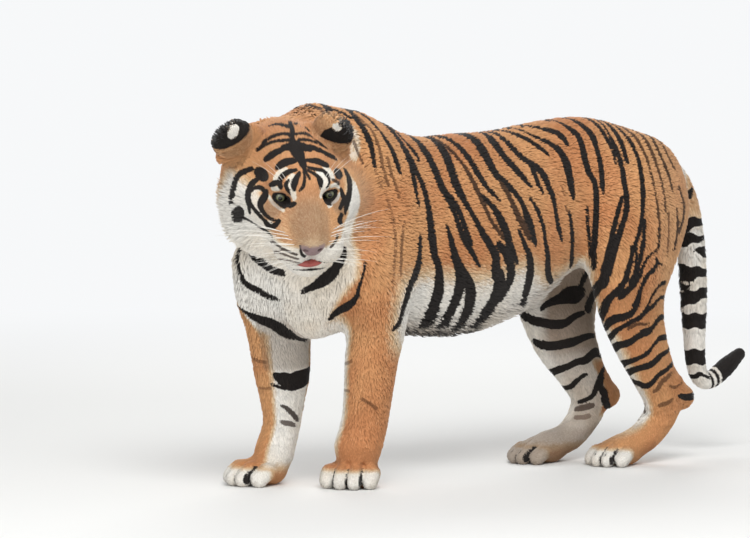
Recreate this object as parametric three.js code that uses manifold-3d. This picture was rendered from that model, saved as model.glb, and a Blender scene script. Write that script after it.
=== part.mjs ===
// A standing tiger, life size, as closed faceted solids in millimetres.
// +Z is up, the body lies along Y with the chest towards -Y, and +X is the beast's left.
// Every solid is cast from one field: named masses of muscle and bone, blended together,
// and grown by the depth of the coat that lies over them.
import * as THREE from "three";
import { mergeVertices } from "three/addons/utils/BufferGeometryUtils.js";
import Module from "manifold-3d";

const wasm = await Module();
wasm.setup();

// ---------- driving sizes ----------
const GAP = 0.3;            // clearance between neighbouring pieces
const EYE_RADIUS = 18;
const EYE_SPREAD = 48.5;    // from the midline to each eye's centre
const EYE_UP = 12;          // from the head's own origin
const EYE_BACK = 4;
const FUR_FACE = 2.5;       // depth of coat by region
const FUR_CHEEK = 9;
const FUR_BODY = 8;
const FUR_BELLY = 19;
const FUR_LEG = 5;
const FUR_PAW = 2;
const PAW_WIDE = 118;
const PAW_LONG = 116;
const HIND_WIDE = 104;

// The head has a frame of its own: its origin lies between the eyes, and it is
// turned to the beast's left, nodded down and tilted a little.
const EYES = [171, -371, 604];
const HEAD_TURN = 67;
const HEAD_NOD = 25;
const HEAD_TILT = -3.5;

// ---------- masses ----------
// ball: name, centre, half widths, [turn, nod, tilt], blend
// tube: name, turn of its width, steps between stations, blend,
//       stations of [x, y, z, half width across, half depth]
const TRUNK = [
  ["tube", "barrel", 0, 5, 0, [[0, -215, 530, 88, 130], [0, -120, 520, 116, 184],
    [0, 0, 515, 130, 192], [0, 120, 517, 134, 200], [0, 240, 538, 122, 186],
    [0, 360, 578, 106, 164], [0, 480, 602, 104, 146], [0, 590, 588, 98, 116],
    [0, 650, 566, 66, 80]]],
  ["ball", "blade_left", [70, -150, 580], [44, 84, 150], [0, 14, 0], 60],
  ["ball", "blade_right", [-62, -184, 604], [46, 84, 176], [0, 6, 0], 60],
  ["ball", "shoulder_left", [98, -150, 450], [42, 80, 95], [0, 0, 0], 55],
  ["ball", "shoulder_right", [-98, -232, 455], [44, 82, 100], [0, 0, 0], 55],
  ["ball", "haunch_left", [82, 556, 550], [55, 118, 155], [0, -12, 0], 60],
  ["ball", "haunch_right", [-80, 520, 552], [55, 122, 158], [0, -6, 0], 60],
];
const NECK = [
  ["tube", "neck", 0, 3, 60, [[0, -60, 580, 100, 126], [0, -160, 615, 98, 152],
    [-14, -262, 628, 102, 134], [-8, -330, 645, 96, 112], [30, -352, 655, 84, 92]]],
  ["ball", "breast", [0, -232, 450], [92, 86, 140], [0, 0, 0], 60],
];
const FORELEG_LEFT = [
  ["tube", "foreleg_left", 38, 3, 40, [[100, -180, 480, 46, 70], [96, -144, 390, 47, 66],
    [90, -132, 335, 50, 64], [82, -142, 270, 50, 58], [78, -148, 200, 46, 50],
    [72, -154, 130, 43, 46], [72, -170, 80, 46, 48]]],
];
const FORELEG_RIGHT = [
  ["tube", "foreleg_right", 0, 3, 40, [[-98, -275, 470, 46, 80], [-94, -264, 385, 46, 80],
    [-88, -262, 330, 44, 68], [-82, -256, 235, 39, 60], [-78, -258, 180, 36, 46],
    [-75, -262, 122, 33, 35], [-78, -278, 65, 38, 40]]],
];
const HINDLEG_LEFT = [
  ["tube", "hindleg_left", 8, 3, 45, [[92, 550, 560, 52, 115], [98, 528, 440, 50, 104],
    [98, 530, 360, 46, 84], [92, 556, 285, 42, 66], [88, 598, 205, 36, 50],
    [84, 630, 150, 32, 44], [78, 628, 98, 31, 33], [72, 588, 56, 33, 30],
    [68, 545, 38, 34, 28]]],
  ["tube", "heel_left", 0, 1, 25, [[84, 645, 165, 22, 24], [84, 688, 140, 21, 22]]],
];
const HINDLEG_RIGHT = [
  ["tube", "hindleg_right", 0, 3, 45, [[-92, 510, 560, 52, 115], [-100, 484, 440, 50, 110],
    [-98, 480, 350, 46, 98], [-90, 492, 275, 42, 76], [-82, 528, 205, 35, 56],
    [-76, 556, 145, 31, 44], [-76, 540, 93, 30, 33], [-74, 496, 52, 32, 30],
    [-74, 446, 38, 33, 28]]],
  ["tube", "heel_right", 0, 1, 25, [[-76, 568, 160, 22, 24], [-76, 608, 137, 21, 22]]],
];
const TAIL = [
  ["tube", "tail", 0, 3, 25, [[0, 620, 632, 55, 46], [0, 698, 626, 36, 34],
    [0, 748, 580, 27, 27], [0, 775, 500, 24, 24], [0, 786, 400, 23, 23],
    [0, 790, 300, 21, 21], [0, 794, 215, 18, 18], [0, 808, 172, 16, 16],
    [0, 838, 164, 15, 15], [0, 882, 190, 16, 16], [0, 922, 218, 9, 9]]],
];
// paw: name, middle of the paw on the ground, heading to the left of forward, width, length
const PAWS = [
  ["forepaw_left", [74, -188], 44, PAW_WIDE, PAW_LONG],
  ["forepaw_right", [-82, -322], 8, PAW_WIDE, PAW_LONG],
  ["hindpaw_left", [64, 512], 20, HIND_WIDE, PAW_LONG],
  ["hindpaw_right", [-74, 404], 3, HIND_WIDE, PAW_LONG],
];
// in the head's frame; "pair" masses stand on both sides of the midline
const SKULL = [
  ["ball", "cranium", [0, 84, 18], [82, 112, 74], [0, 0, 0], 0],
  ["pair", "cheek_bone", [70, 46, -26], [44, 64, 50], [0, 0, 0], 28],
  ["pair", "ruff", [70, 92, -56], [60, 64, 74], [0, 0, 0], 32],
  ["pair", "jowl", [66, 98, -104], [54, 54, 58], [0, 0, 0], 32],
  ["pair", "brow", [34, 6, 36], [34, 34, 20], [0, 0, 0], 20],
  ["pair", "maxilla", [42, 0, -42], [41, 54, 42], [0, 0, 0], 30],
  ["tube", "bridge", 0, 2, 26, [[0, 20, 12, 44, 30], [0, -40, -8, 36, 27],
    [0, -80, -32, 31, 25], [0, -96, -46, 26, 21]]],
  ["pair", "whisker_pad", [32, -54, -74], [38, 48, 36], [0, 0, 0], 24],
  ["ball", "chin", [0, -54, -112], [38, 42, 26], [0, 0, 0], 14],
  ["tube", "jaw", 0, 2, 24, [[0, -40, -102, 42, 30], [0, 20, -100, 62, 40],
    [0, 80, -96, 76, 50]]],
];
const SOCKET = ["pair", "socket", [49, -22, 14], [20, 17, 15], [0, 0, 0], 14];
// ears: name, cup's centre in the head's frame, [turn, nod, tilt] of the cup
const EARS = [
  ["ear_left", [80, 99, 104], [-36, 16, 31]],
  ["ear_right", [-138, 86, 108], [26, 22, -41]],
];
const EAR_CUP = [42, 24, 48];   // half widths of the outer cup
const EAR_HOLLOW = [35, 24, 43];

// ---------- small vector kit ----------
const add = (a, b, s = 1) => [a[0] + b[0] * s, a[1] + b[1] * s, a[2] + b[2] * s];
const sub = (a, b) => add(a, b, -1);
const dot = (a, b) => a[0] * b[0] + a[1] * b[1] + a[2] * b[2];
const cross = (a, b) => [a[1] * b[2] - a[2] * b[1], a[2] * b[0] - a[0] * b[2],
  a[0] * b[1] - a[1] * b[0]];
const size = (a) => Math.hypot(a[0], a[1], a[2]);
const unit = (a) => { const s = 1 / size(a); return [a[0] * s, a[1] * s, a[2] * s]; };
const rad = Math.PI / 180;
const mix = (a, b, t) => a + (b - a) * t;
const ease = (lo, hi, v) => {
  const t = Math.min(1, Math.max(0, (v - lo) / (hi - lo)));
  return t * t * (3 - 2 * t);
};

// The three axes of a frame turned about Z, then nodded about its X, then tilted about its Y.
function axes([turn = 0, nod = 0, tilt = 0]) {
  const m = new THREE.Matrix4().makeRotationZ(turn * rad)
    .multiply(new THREE.Matrix4().makeRotationX(nod * rad))
    .multiply(new THREE.Matrix4().makeRotationY(tilt * rad));
  const e = m.elements;
  return [[e[0], e[1], e[2]], [e[4], e[5], e[6]], [e[8], e[9], e[10]]];
}
const into = (p, centre, frame) => {
  const q = sub(p, centre);
  return [dot(q, frame[0]), dot(q, frame[1]), dot(q, frame[2])];
};
const outOf = (q, centre, frame) =>
  add(add(add(centre, frame[0], q[0]), frame[1], q[1]), frame[2], q[2]);

// ---------- distance to each kind of mass ----------
function blendMin(a, b, k) {
  if (k <= 0) return Math.min(a, b);
  const h = Math.max(k - Math.abs(a - b), 0) / k;
  return Math.min(a, b) - h * h * k * 0.25;
}
const blendMax = (a, b, k) => -blendMin(-a, -b, k);

function ovalDistance(x, y, z, rx, ry, rz) {
  const k0 = Math.hypot(x / rx, y / ry, z / rz);
  const k1 = Math.hypot(x / rx ** 2, y / ry ** 2, z / rz ** 2);
  return k1 > 1e-9 ? k0 * (k0 - 1) / k1 : -Math.min(rx, ry, rz);
}
function ball(centre, half, angles) {
  const frame = axes(angles);
  return {
    centre, reach: Math.max(...half),
    at: (p) => ovalDistance(...into(p, centre, frame), ...half),
  };
}
function stationsBetween(rows, steps) {
  const out = [];
  for (let i = 0; i + 1 < rows.length; i++) {
    const [p0, p1, p2, p3] = [rows[Math.max(i - 1, 0)], rows[i], rows[i + 1],
      rows[Math.min(i + 2, rows.length - 1)]];
    for (let j = 0; j < steps; j++) {
      const t = j / steps;
      out.push(p1.map((_, c) => 0.5 * (2 * p1[c] + (p2[c] - p0[c]) * t
        + (2 * p0[c] - 5 * p1[c] + 4 * p2[c] - p3[c]) * t * t
        + (3 * p1[c] - p0[c] - 3 * p2[c] + p3[c]) * t ** 3)));
    }
  }
  out.push(rows[rows.length - 1]);
  return out;
}
function tube(rows, turn, steps) {
  const side = axes([turn])[0];
  const nodes = stationsBetween(rows, steps);
  const box = new THREE.Box3().setFromPoints(nodes.map((n) => new THREE.Vector3(...n.slice(0, 3))));
  const centre = box.getCenter(new THREE.Vector3()).toArray();
  const reach = Math.max(...nodes.map((n) => size(sub(n, centre)) + Math.max(n[3], n[4])));
  const pieces = nodes.slice(1).map((b, i) => {
    const a = nodes[i];
    const w = unit(sub(b, a));
    const u = unit(add(side, w, -dot(side, w)));
    return { a, b, w, u, v: cross(w, u), length: size(sub(b, a)) };
  });
  const at = (p) => {
    let d = 1e9;
    for (const { a, b, w, u, v, length } of pieces) {
      const q = sub(p, a);
      const s = dot(q, w);
      const t = Math.min(1, Math.max(0, s / length));
      const ru = mix(a[3], b[3], t);
      const rv = mix(a[4], b[4], t);
      d = Math.min(d, ovalDistance(dot(q, u), dot(q, v), s - t * length, ru, rv, Math.min(ru, rv)));
    }
    return d;
  };
  return { centre, reach, at };
}
function paw(centre, heading, wide, long) {
  const [l, back] = axes([heading]);
  const at = (side, fore, up) => [centre[0] + l[0] * side - back[0] * fore,
    centre[1] + l[1] * side - back[1] * fore, up];
  const masses = [[ball(at(0, -long * 0.15, 26), [wide * 0.42, long * 0.42, 30], [heading]), 0]];
  for (const [slot, fore, scale] of [[-1.5, 0.2, 0.94], [-0.5, 0.35, 1], [0.5, 0.35, 1], [1.5, 0.2, 0.94]]) {
    const r = wide * 0.152 * scale;
    const side = slot * wide * 0.245;
    masses.push([tube([
      [...at(side - slot * wide * 0.08, long * (fore - 0.45), r * 1.7), r * 0.95, r * 0.95],
      [...at(side, long * (fore - 0.14), r * 1.8), r * 1.02, r * 1.02],
      [...at(side, long * (fore + 0.06), r * 0.92), r * 0.95, r * 0.92]], heading, 2), 7]);
  }
  return masses;
}
function massOf(row) {
  const kind = row[0];
  if (kind === "tube") return [tube(row[5], row[2], row[3]), row[4]];
  return [ball(row[2], row[3], row[4]), row[5], kind === "pair"];
}
// Joins masses in order; one that is well out of reach only lends its distance.
function joined(masses) {
  return (p) => {
    const m = [Math.abs(p[0]), p[1], p[2]];
    let d = 1e3;
    for (const [mass, k, pair] of masses) {
      const q = pair ? m : p;
      const away = size(sub(q, mass.centre)) - mass.reach;
      d = away > Math.max(k, 20) + 10 ? Math.min(d, away) : blendMin(d, mass.at(q), k);
    }
    return d;
  };
}

// ---------- the field of the whole beast ----------
const headFrame = axes([HEAD_TURN, HEAD_NOD, HEAD_TILT]);
const headMasses = SKULL.map(massOf);
const skull = joined(headMasses);
const socket = massOf(SOCKET)[0];
const headField = (q) => blendMax(skull(q), -socket.at([Math.abs(q[0]), q[1], q[2]]), SOCKET[5]);
const parts = {
  trunk: TRUNK.map(massOf),
  neck: NECK.map(massOf),
  foreleg_left: FORELEG_LEFT.map(massOf),
  foreleg_right: FORELEG_RIGHT.map(massOf),
  hindleg_left: HINDLEG_LEFT.map(massOf),
  hindleg_right: HINDLEG_RIGHT.map(massOf),
  tail: TAIL.map(massOf),
};
const pawFields = Object.fromEntries(PAWS.map(([name, ...rest]) => [name, joined(paw(...rest))]));
const fleshField = joined(["trunk", "neck", "foreleg_left", "foreleg_right", "hindleg_left",
  "hindleg_right"].flatMap((n) => parts[n]));
const tailField = joined(parts.tail);

function beast(p) {
  let d = fleshField(p);
  if (p[2] < 160) for (const f of Object.values(pawFields)) d = blendMin(d, f(p), 18);
  d = blendMin(d, tailField(p), 25);
  return blendMin(d, headField(into(p, EYES, headFrame)), 45);
}
function furDepth(p) {
  let depth = mix(FUR_LEG, FUR_BODY, ease(260, 380, p[2]));
  depth = mix(FUR_PAW, depth, ease(60, 130, p[2]));
  const belly = ease(110, 60, Math.abs(p[0])) * ease(-90, -20, p[1]) * ease(400, 330, p[1])
    * ease(420, 340, p[2]) * ease(200, 280, p[2]);
  depth = mix(depth, FUR_BELLY, belly);
  const q = into(p, EYES, headFrame);
  const nearHead = ease(215, 165, size(sub(q, [0, 40, -20])));
  return mix(depth, mix(FUR_FACE, FUR_CHEEK, ease(10, 90, q[1])), nearHead);
}
const outline = (p) => beast(p) - furDepth(p);

// ---------- casting a closed shell on the field ----------
// Walks from a point inside along a direction until the field turns positive.
function walk(field, from, way, start = 0, limit = 600) {
  let t = start;
  let d = field(add(from, way, t));
  if (d > 0) return t;
  while (d < -0.02 && t < limit) {
    t += Math.max(-d * 0.8, 0.4);
    d = field(add(from, way, t));
  }
  if (t >= limit) return limit;
  let lo = start;
  let hi = t;
  if (d > 0) {
    lo = Math.max(start, t - Math.max(12, t * 0.3));
    for (let i = 0; i < 18; i++) {
      const mid = (lo + hi) / 2;
      if (field(add(from, way, mid)) > 0) hi = mid; else lo = mid;
    }
  }
  return hi;
}
// A sphere's lattice laid along a path: its poles close the two ends, and every vertex
// stands where its ray leaves the piece's own field, or the whole beast's just beyond it.
function shell({ path, side, around, along, own, whole = null, margin = 0, cap = 0.22, stretch }) {
  const curve = new THREE.CatmullRomCurve3(path.map((p) => new THREE.Vector3(...p)));
  const lattice = new THREE.SphereGeometry(1, around, along);
  lattice.deleteAttribute("normal");
  lattice.deleteAttribute("uv");
  const geometry = mergeVertices(lattice, 1e-4);
  const pos = geometry.attributes.position;
  const v = new THREE.Vector3();
  for (let i = 0; i < pos.count; i++) {
    v.fromBufferAttribute(pos, i);
    let share = Math.acos(THREE.MathUtils.clamp(v.y, -1, 1)) / Math.PI;
    if (stretch) share = stretch(share);
    const turn = Math.atan2(v.z, v.x);
    const t = THREE.MathUtils.clamp((share - cap) / (1 - 2 * cap), 0, 1);
    const lean = share < cap ? -(1 - share / cap) : share > 1 - cap ? 1 - (1 - share) / cap : 0;
    const from = curve.getPoint(t).toArray();
    const w = curve.getTangent(t).toArray();
    const u = unit(add(side, w, -dot(side, w)));
    const z = cross(w, u);
    const a = lean * Math.PI / 2;
    const c = Math.cos(a);
    const way = unit(add(add([u[0] * c * Math.cos(turn), u[1] * c * Math.cos(turn),
      u[2] * c * Math.cos(turn)], z, c * Math.sin(turn)), w, Math.sin(a)));
    let r = walk(own, from, way);
    if (whole && margin) r = walk(whole, from, way, r, r + margin);
    pos.setXYZ(i, ...add(from, way, r));
  }
  return geometry;
}

// ---------- solids ----------
function solid(geometry) {
  const g = geometry.clone();
  for (const n of Object.keys(g.attributes)) if (n !== "position") g.deleteAttribute(n);
  const merged = mergeVertices(g, 1e-4);
  return new wasm.Manifold(new wasm.Mesh({
    numProp: 3,
    vertProperties: new Float32Array(merged.attributes.position.array),
    triVerts: new Uint32Array(merged.index.array),
  }));
}
function geometryOf(manifold) {
  const mesh = manifold.getMesh();
  const g = new THREE.BufferGeometry();
  g.setAttribute("position", new THREE.BufferAttribute(new Float32Array(mesh.vertProperties), 3));
  g.setIndex(new THREE.BufferAttribute(new Uint32Array(mesh.triVerts), 1));
  return g;
}
// A box given by its lowest and highest corner in a frame of its own, grown on every side.
function region(lo, hi, centre = [0, 0, 0], frame = axes([0]), grow = 0) {
  const box = new THREE.BoxGeometry(...hi.map((h, i) => h - lo[i] + 2 * grow));
  const mid = outOf(hi.map((h, i) => (h + lo[i]) / 2), centre, frame);
  const m = new THREE.Matrix4().makeBasis(...frame.map((a) => new THREE.Vector3(...a)));
  return solid(box.applyMatrix4(m.setPosition(...mid)));
}
const toHead = (q) => outOf(q, EYES, headFrame);
const headPath = (rows) => rows.map(toHead);
const withFur = (field, extra = 0) => (p) => field(p) - furDepth(p) - extra;

const headShell = (extra = 0) => solid(shell({
  path: headPath([[0, 78, 0], [0, 30, -20], [0, -52, -62]]), side: headFrame[0],
  around: 26, along: 21, cap: 0.3,
  own: withFur((p) => headField(into(p, EYES, headFrame)), extra),
}));
const bodyShell = (extra = 0) => solid(shell({
  path: [[-4, -320, 610], [-12, -260, 590], [0, -160, 555], [0, 0, 525], [0, 200, 535],
    [0, 420, 580], [0, 580, 590]],
  side: [1, 0, 0], around: 20, along: 26,
  own: withFur(joined([...parts.trunk, ...parts.neck]), extra),
  whole: (p) => outline(p) - extra, margin: 12, cap: 0.14,
}));
function legShell(name, path, around, along) {
  return solid(shell({ path, side: [1, 0, 0], around, along,
    own: withFur(joined(parts[name])), cap: 0.16 }));
}
const legs = {
  foreleg_left: legShell("foreleg_left", [[98, -165, 445], [90, -135, 330], [78, -148, 200],
    [72, -165, 85]], 12, 14),
  foreleg_right: legShell("foreleg_right", [[-96, -268, 440], [-86, -258, 300],
    [-77, -258, 160], [-78, -275, 75]], 12, 14),
  hindleg_left: legShell("hindleg_left", [[96, 540, 500], [98, 528, 380], [89, 580, 240],
    [81, 632, 130], [70, 560, 48]], 12, 18),
  hindleg_right: legShell("hindleg_right", [[-96, 500, 500], [-98, 482, 370], [-86, 510, 240],
    [-76, 552, 125], [-74, 465, 46]], 12, 18),
};
const tailShell = solid(shell({
  path: TAIL[0][5].map((r) => r.slice(0, 3)).map((p, i) => (i ? p : [0, 640, 630])),
  side: [1, 0, 0], around: 9, along: 28, own: withFur(tailField), cap: 0.06,
}));
function pawShell([name, c, heading, wide, long]) {
  const [l, back] = axes([heading]);
  const at = (fore, up) => [c[0] - back[0] * fore, c[1] - back[1] * fore, up];
  return solid(shell({
    path: [at(-long * 0.22, 26), at(long * 0.2, 20)], side: l, around: 16, along: 9,
    own: withFur(pawFields[name]), cap: 0.34,
  }));
}

const ground = region([-400, -800, -80], [400, 1200, 0]);
let flesh = bodyShell().add(headShell()).add(tailShell);
for (const leg of Object.values(legs)) flesh = flesh.add(leg);
for (const row of PAWS) flesh = flesh.add(pawShell(row));
flesh = flesh.subtract(ground);

// ---------- eyes, tongue and ears ----------
const eyeCentre = (side) => toHead([side * EYE_SPREAD, EYE_BACK, EYE_UP]);
function eyeGeometry(side, grow = 0) {
  const g = new THREE.SphereGeometry(EYE_RADIUS + grow, 12, 8);
  return g.translate(...eyeCentre(side));
}
const TONGUE = { centre: [0, -84, -93], half: [19, 13, 6] };
const MOUTH = { centre: [0, -84, -94], half: [34, 24, 7.5] };
function oval({ centre, half }, around, along) {
  const g = new THREE.SphereGeometry(1, around, along).scale(...half).translate(...centre);
  const m = new THREE.Matrix4().makeBasis(...headFrame.map((a) => new THREE.Vector3(...a)));
  return g.applyMatrix4(m.setPosition(...EYES));
}
function earSolid([, centre, angles]) {
  const frame = axes(angles);
  const place = (g) => {
    const own = new THREE.Matrix4().makeBasis(...frame.map((a) => new THREE.Vector3(...a)));
    const head = new THREE.Matrix4().makeBasis(...headFrame.map((a) => new THREE.Vector3(...a)));
    return g.applyMatrix4(own.setPosition(...centre)).applyMatrix4(head.setPosition(...EYES));
  };
  const cup = new THREE.SphereGeometry(1, 11, 7).scale(...EAR_CUP);
  const hollow = new THREE.SphereGeometry(1, 10, 7).scale(...EAR_HOLLOW).translate(0, 16, 3);
  const root = new THREE.CylinderGeometry(37, 52, 58, 9).scale(1, 1, 0.6);
  root.rotateX(Math.PI / 2).translate(0, 2, -40);
  return solid(place(cup)).add(solid(place(root))).subtract(solid(place(hollow)));
}
// The ears stand a hair's breadth off the head and neck, which are cast again a little larger.
const clearOfEars = headShell(2 * GAP).add(bodyShell(2 * GAP));
const ears = EARS.map((row) => [row[0], earSolid(row).subtract(clearOfEars)]);
// Each eye looks out through an almond opening between its lids.
const lidOpening = (side) => ({
  centre: [side * (EYE_SPREAD + 1), -26, EYE_UP + 1], half: [18, 24, 12],
});
for (const side of [1, -1]) {
  flesh = flesh.subtract(solid(eyeGeometry(side, GAP)))
    .subtract(solid(oval(lidOpening(side), 12, 8)));
}
flesh = flesh.subtract(solid(oval(MOUTH, 14, 6)));

// ---------- parting the flesh into named pieces ----------
const pieces = [];
function take(name, ...boxes) {
  const common = (grow) => boxes.map(([lo, hi, centre, frame]) =>
    region(lo, hi, centre, frame, grow)).reduce((a, b) => a.intersect(b));
  pieces.push([name, flesh.intersect(common(0))]);
  flesh = flesh.subtract(common(GAP));
}
take("head", [[-320, -320, -170], [132, 128, 320], EYES, headFrame]);
take("tail_tip", [[-60, 735, -10], [60, 1000, 232]]);
take("tail_mid", [[-60, 735, 232], [60, 1000, 430]]);
take("tail_base", [[-80, 716, 430], [80, 1000, 800]]);
// Each leg parts from the trunk on a slope that rises outwards from the armpit or groin.
const big = 600;
const legCuts = [
  ["foreleg_left", 1, [30, 0, 335], [-330, -60], [232, 92], "forearm_left", "forepaw_left"],
  ["foreleg_right", -1, [-30, 0, 345], [-440, -160], [232, 92], "forearm_right",
    "forepaw_right"],
  ["hindleg_left", 1, [20, 0, 385], [400, 690], [268, 92], "shank_left", "hindpaw_left"],
  ["hindleg_right", -1, [-20, 0, 385], [340, 660], [268, 92], "shank_right",
    "hindpaw_right"],
];
for (const [name, side, armpit, [front, back], [mid, low], lower, foot] of legCuts) {
  const column = (zLow, zHigh, spare = 120) => {
    const x = side > 0 ? [0, big] : [-big, 0];
    return [[x[0], front - spare, zLow], [x[1], back + spare, zHigh]];
  };
  take(foot, column(-10, low));
  take(lower, column(low, mid));
  take(name, column(mid, big, 0), [[-big, -big, -big], [big, 2 * big, 0], armpit,
    axes([0, 0, -40 * side])]);
}
take("neck", [[-big, -big, -110], [big, 0, big], [0, -215, 560], axes([0, 18, 0])]);
pieces.push(["trunk", flesh]);

// ---------- the scene ----------
const COAT = { color: 0xb8763a, roughness: 0.85, metalness: 0 };
const PALE = { color: 0xd9cbb2, roughness: 0.85, metalness: 0 };
const DARK = { color: 0x1c1815, roughness: 0.8, metalness: 0 };
const looks = { tail_tip: DARK, tail_mid: PALE, ear_left: DARK, ear_right: DARK,
  hindpaw_left: PALE, hindpaw_right: PALE };
const tiger = new THREE.Group();
function place(name, geometry, look) {
  const mesh = new THREE.Mesh(geometry, new THREE.MeshStandardMaterial(look));
  mesh.name = name;
  tiger.add(mesh);
}
for (const [name, manifold] of pieces) place(name, geometryOf(manifold), looks[name] ?? COAT);
for (const [name, manifold] of ears) place(name, geometryOf(manifold), looks[name]);
place("eye_left", eyeGeometry(1), { color: 0x8c8a4a, roughness: 0.12, metalness: 0 });
place("eye_right", eyeGeometry(-1), { color: 0x8c8a4a, roughness: 0.12, metalness: 0 });
place("tongue", oval(TONGUE, 12, 5), { color: 0xa85a50, roughness: 0.5, metalness: 0 });

// The origin lies on the ground under the middle of the beast's bounding box.
const middle = new THREE.Box3().setFromObject(tiger).getCenter(new THREE.Vector3());
tiger.position.set(-middle.x, -middle.y, 0);
tiger.updateMatrixWorld(true);

export default tiger;
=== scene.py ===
"""The dressed tiger: one skin over the solids' flesh, a coat of tufts, eyes, a tongue and
whiskers. Lengths are in millimetres up to to_metres(), and Blender's objects in metres."""

import math

import bmesh
import bpy
import numpy as np
from mathutils import Matrix, Vector


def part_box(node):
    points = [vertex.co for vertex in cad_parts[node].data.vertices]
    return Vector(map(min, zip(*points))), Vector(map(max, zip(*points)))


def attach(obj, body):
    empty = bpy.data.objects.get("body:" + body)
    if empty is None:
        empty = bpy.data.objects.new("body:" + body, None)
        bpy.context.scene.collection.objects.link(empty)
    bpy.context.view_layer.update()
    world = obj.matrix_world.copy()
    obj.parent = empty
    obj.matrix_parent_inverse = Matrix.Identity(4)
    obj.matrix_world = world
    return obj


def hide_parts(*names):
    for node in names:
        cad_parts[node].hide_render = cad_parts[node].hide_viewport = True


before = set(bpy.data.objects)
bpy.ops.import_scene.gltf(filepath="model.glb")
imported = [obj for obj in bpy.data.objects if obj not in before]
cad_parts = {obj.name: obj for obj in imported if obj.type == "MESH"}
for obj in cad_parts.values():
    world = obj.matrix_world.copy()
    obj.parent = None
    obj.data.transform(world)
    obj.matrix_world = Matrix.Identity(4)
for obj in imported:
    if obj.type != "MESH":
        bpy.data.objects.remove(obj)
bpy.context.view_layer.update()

# ---------- driving sizes, in millimetres ----------
MM = 0.001
EYE_RADIUS = 18.0
EYE_SPREAD, EYE_BACK, EYE_UP = 48.5, 4.0, 12.0   # an eye in the frame of the head
HEAD_MIDDLE = (0, 40, -20)                       # and the middle of the skull
# how far the coat stands over the flesh
FUR_FACE, FUR_CHEEK, FUR_EAR = 2.5, 9.0, 3.5
FUR_BODY, FUR_BELLY = 8.0, 19.0
FUR_LEG, FUR_PAW = 5.0, 2.0
PAW_WIDE, PAW_LONG, HIND_WIDE = 118.0, 116.0, 104.0
TOE_PITCH = 0.245                                # of a paw's width, from toe to toe
TOES = ((-1.5, 0.2), (-0.5, 0.35), (0.5, 0.35), (1.5, 0.2))   # pitches across, share ahead
CLEFTS = (-1, 0, 1)                              # pitches across

# The head has a frame of its own, with its origin between the eyes: x to its left,
# y to its back, z up. It is turned to the beast's left, nodded down and tilted a little.
EYES = (171.0, -371.0, 604.0)
HEAD_TURN, HEAD_NOD, HEAD_TILT = 67.0, 25.0, -3.5

# ---------- masses of muscle and bone ----------
# ball: centre, half widths, (turn, nod, tilt), blend
# tube: turn of its width, steps between stations, blend,
#       stations of (x, y, z, half width across, half depth)
TRUNK = [
    ("tube", 0, 5, 0, [(0, -215, 530, 88, 130), (0, -120, 520, 116, 184),
                       (0, 0, 515, 130, 192), (0, 120, 517, 134, 200),
                       (0, 240, 538, 122, 186), (0, 360, 578, 106, 164),
                       (0, 480, 602, 104, 146), (0, 590, 588, 98, 116),
                       (0, 650, 566, 66, 80)]),
    ("ball", (70, -150, 580), (44, 84, 150), (0, 14, 0), 60),
    ("ball", (-62, -184, 604), (46, 84, 176), (0, 6, 0), 60),
    ("ball", (98, -150, 450), (42, 80, 95), (0, 0, 0), 55),
    ("ball", (-98, -232, 455), (44, 82, 100), (0, 0, 0), 55),
    ("ball", (82, 556, 550), (55, 118, 155), (0, -12, 0), 60),
    ("ball", (-80, 520, 552), (55, 122, 158), (0, -6, 0), 60),
]
NECK = [
    ("tube", 0, 3, 60, [(0, -60, 580, 100, 126), (0, -160, 615, 98, 152),
                        (-14, -262, 628, 102, 134), (-8, -330, 645, 96, 112),
                        (30, -352, 655, 84, 92)]),
    ("ball", (0, -232, 450), (92, 86, 140), (0, 0, 0), 60),
]
FORELEG_LEFT = [
    ("tube", 38, 3, 40, [(100, -180, 480, 46, 70), (96, -144, 390, 47, 66),
                         (90, -132, 335, 50, 64), (82, -142, 270, 50, 58),
                         (78, -148, 200, 46, 50), (72, -154, 130, 43, 46),
                         (72, -170, 80, 46, 48)]),
]
FORELEG_RIGHT = [
    ("tube", 0, 3, 40, [(-98, -275, 470, 46, 80), (-94, -264, 385, 46, 80),
                        (-88, -262, 330, 44, 68), (-82, -256, 235, 39, 60),
                        (-78, -258, 180, 36, 46), (-75, -262, 122, 33, 35),
                        (-78, -278, 65, 38, 40)]),
]
HINDLEG_LEFT = [
    ("tube", 8, 3, 45, [(92, 550, 560, 52, 115), (98, 528, 440, 50, 104),
                        (98, 530, 360, 46, 84), (92, 556, 285, 42, 66),
                        (88, 598, 205, 36, 50), (84, 630, 150, 32, 44),
                        (78, 628, 98, 31, 33), (72, 588, 56, 33, 30),
                        (68, 545, 38, 34, 28)]),
    ("tube", 0, 1, 25, [(84, 645, 165, 22, 24), (84, 688, 140, 21, 22)]),
]
HINDLEG_RIGHT = [
    ("tube", 0, 3, 45, [(-92, 510, 560, 52, 115), (-100, 484, 440, 50, 110),
                        (-98, 480, 350, 46, 98), (-90, 492, 275, 42, 76),
                        (-82, 528, 205, 35, 56), (-76, 556, 145, 31, 44),
                        (-76, 540, 93, 30, 33), (-74, 496, 52, 32, 30),
                        (-74, 446, 38, 33, 28)]),
    ("tube", 0, 1, 25, [(-76, 568, 160, 22, 24), (-76, 608, 137, 21, 22)]),
]
TAIL = [
    ("tube", 0, 3, 25, [(0, 620, 632, 55, 46), (0, 698, 626, 36, 34),
                        (0, 748, 580, 27, 27), (0, 775, 500, 24, 24),
                        (0, 786, 400, 23, 23), (0, 790, 300, 21, 21),
                        (0, 794, 215, 18, 18), (0, 808, 172, 16, 16),
                        (0, 838, 164, 15, 15), (0, 882, 190, 16, 16),
                        (0, 922, 218, 9, 9)]),
]
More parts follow.
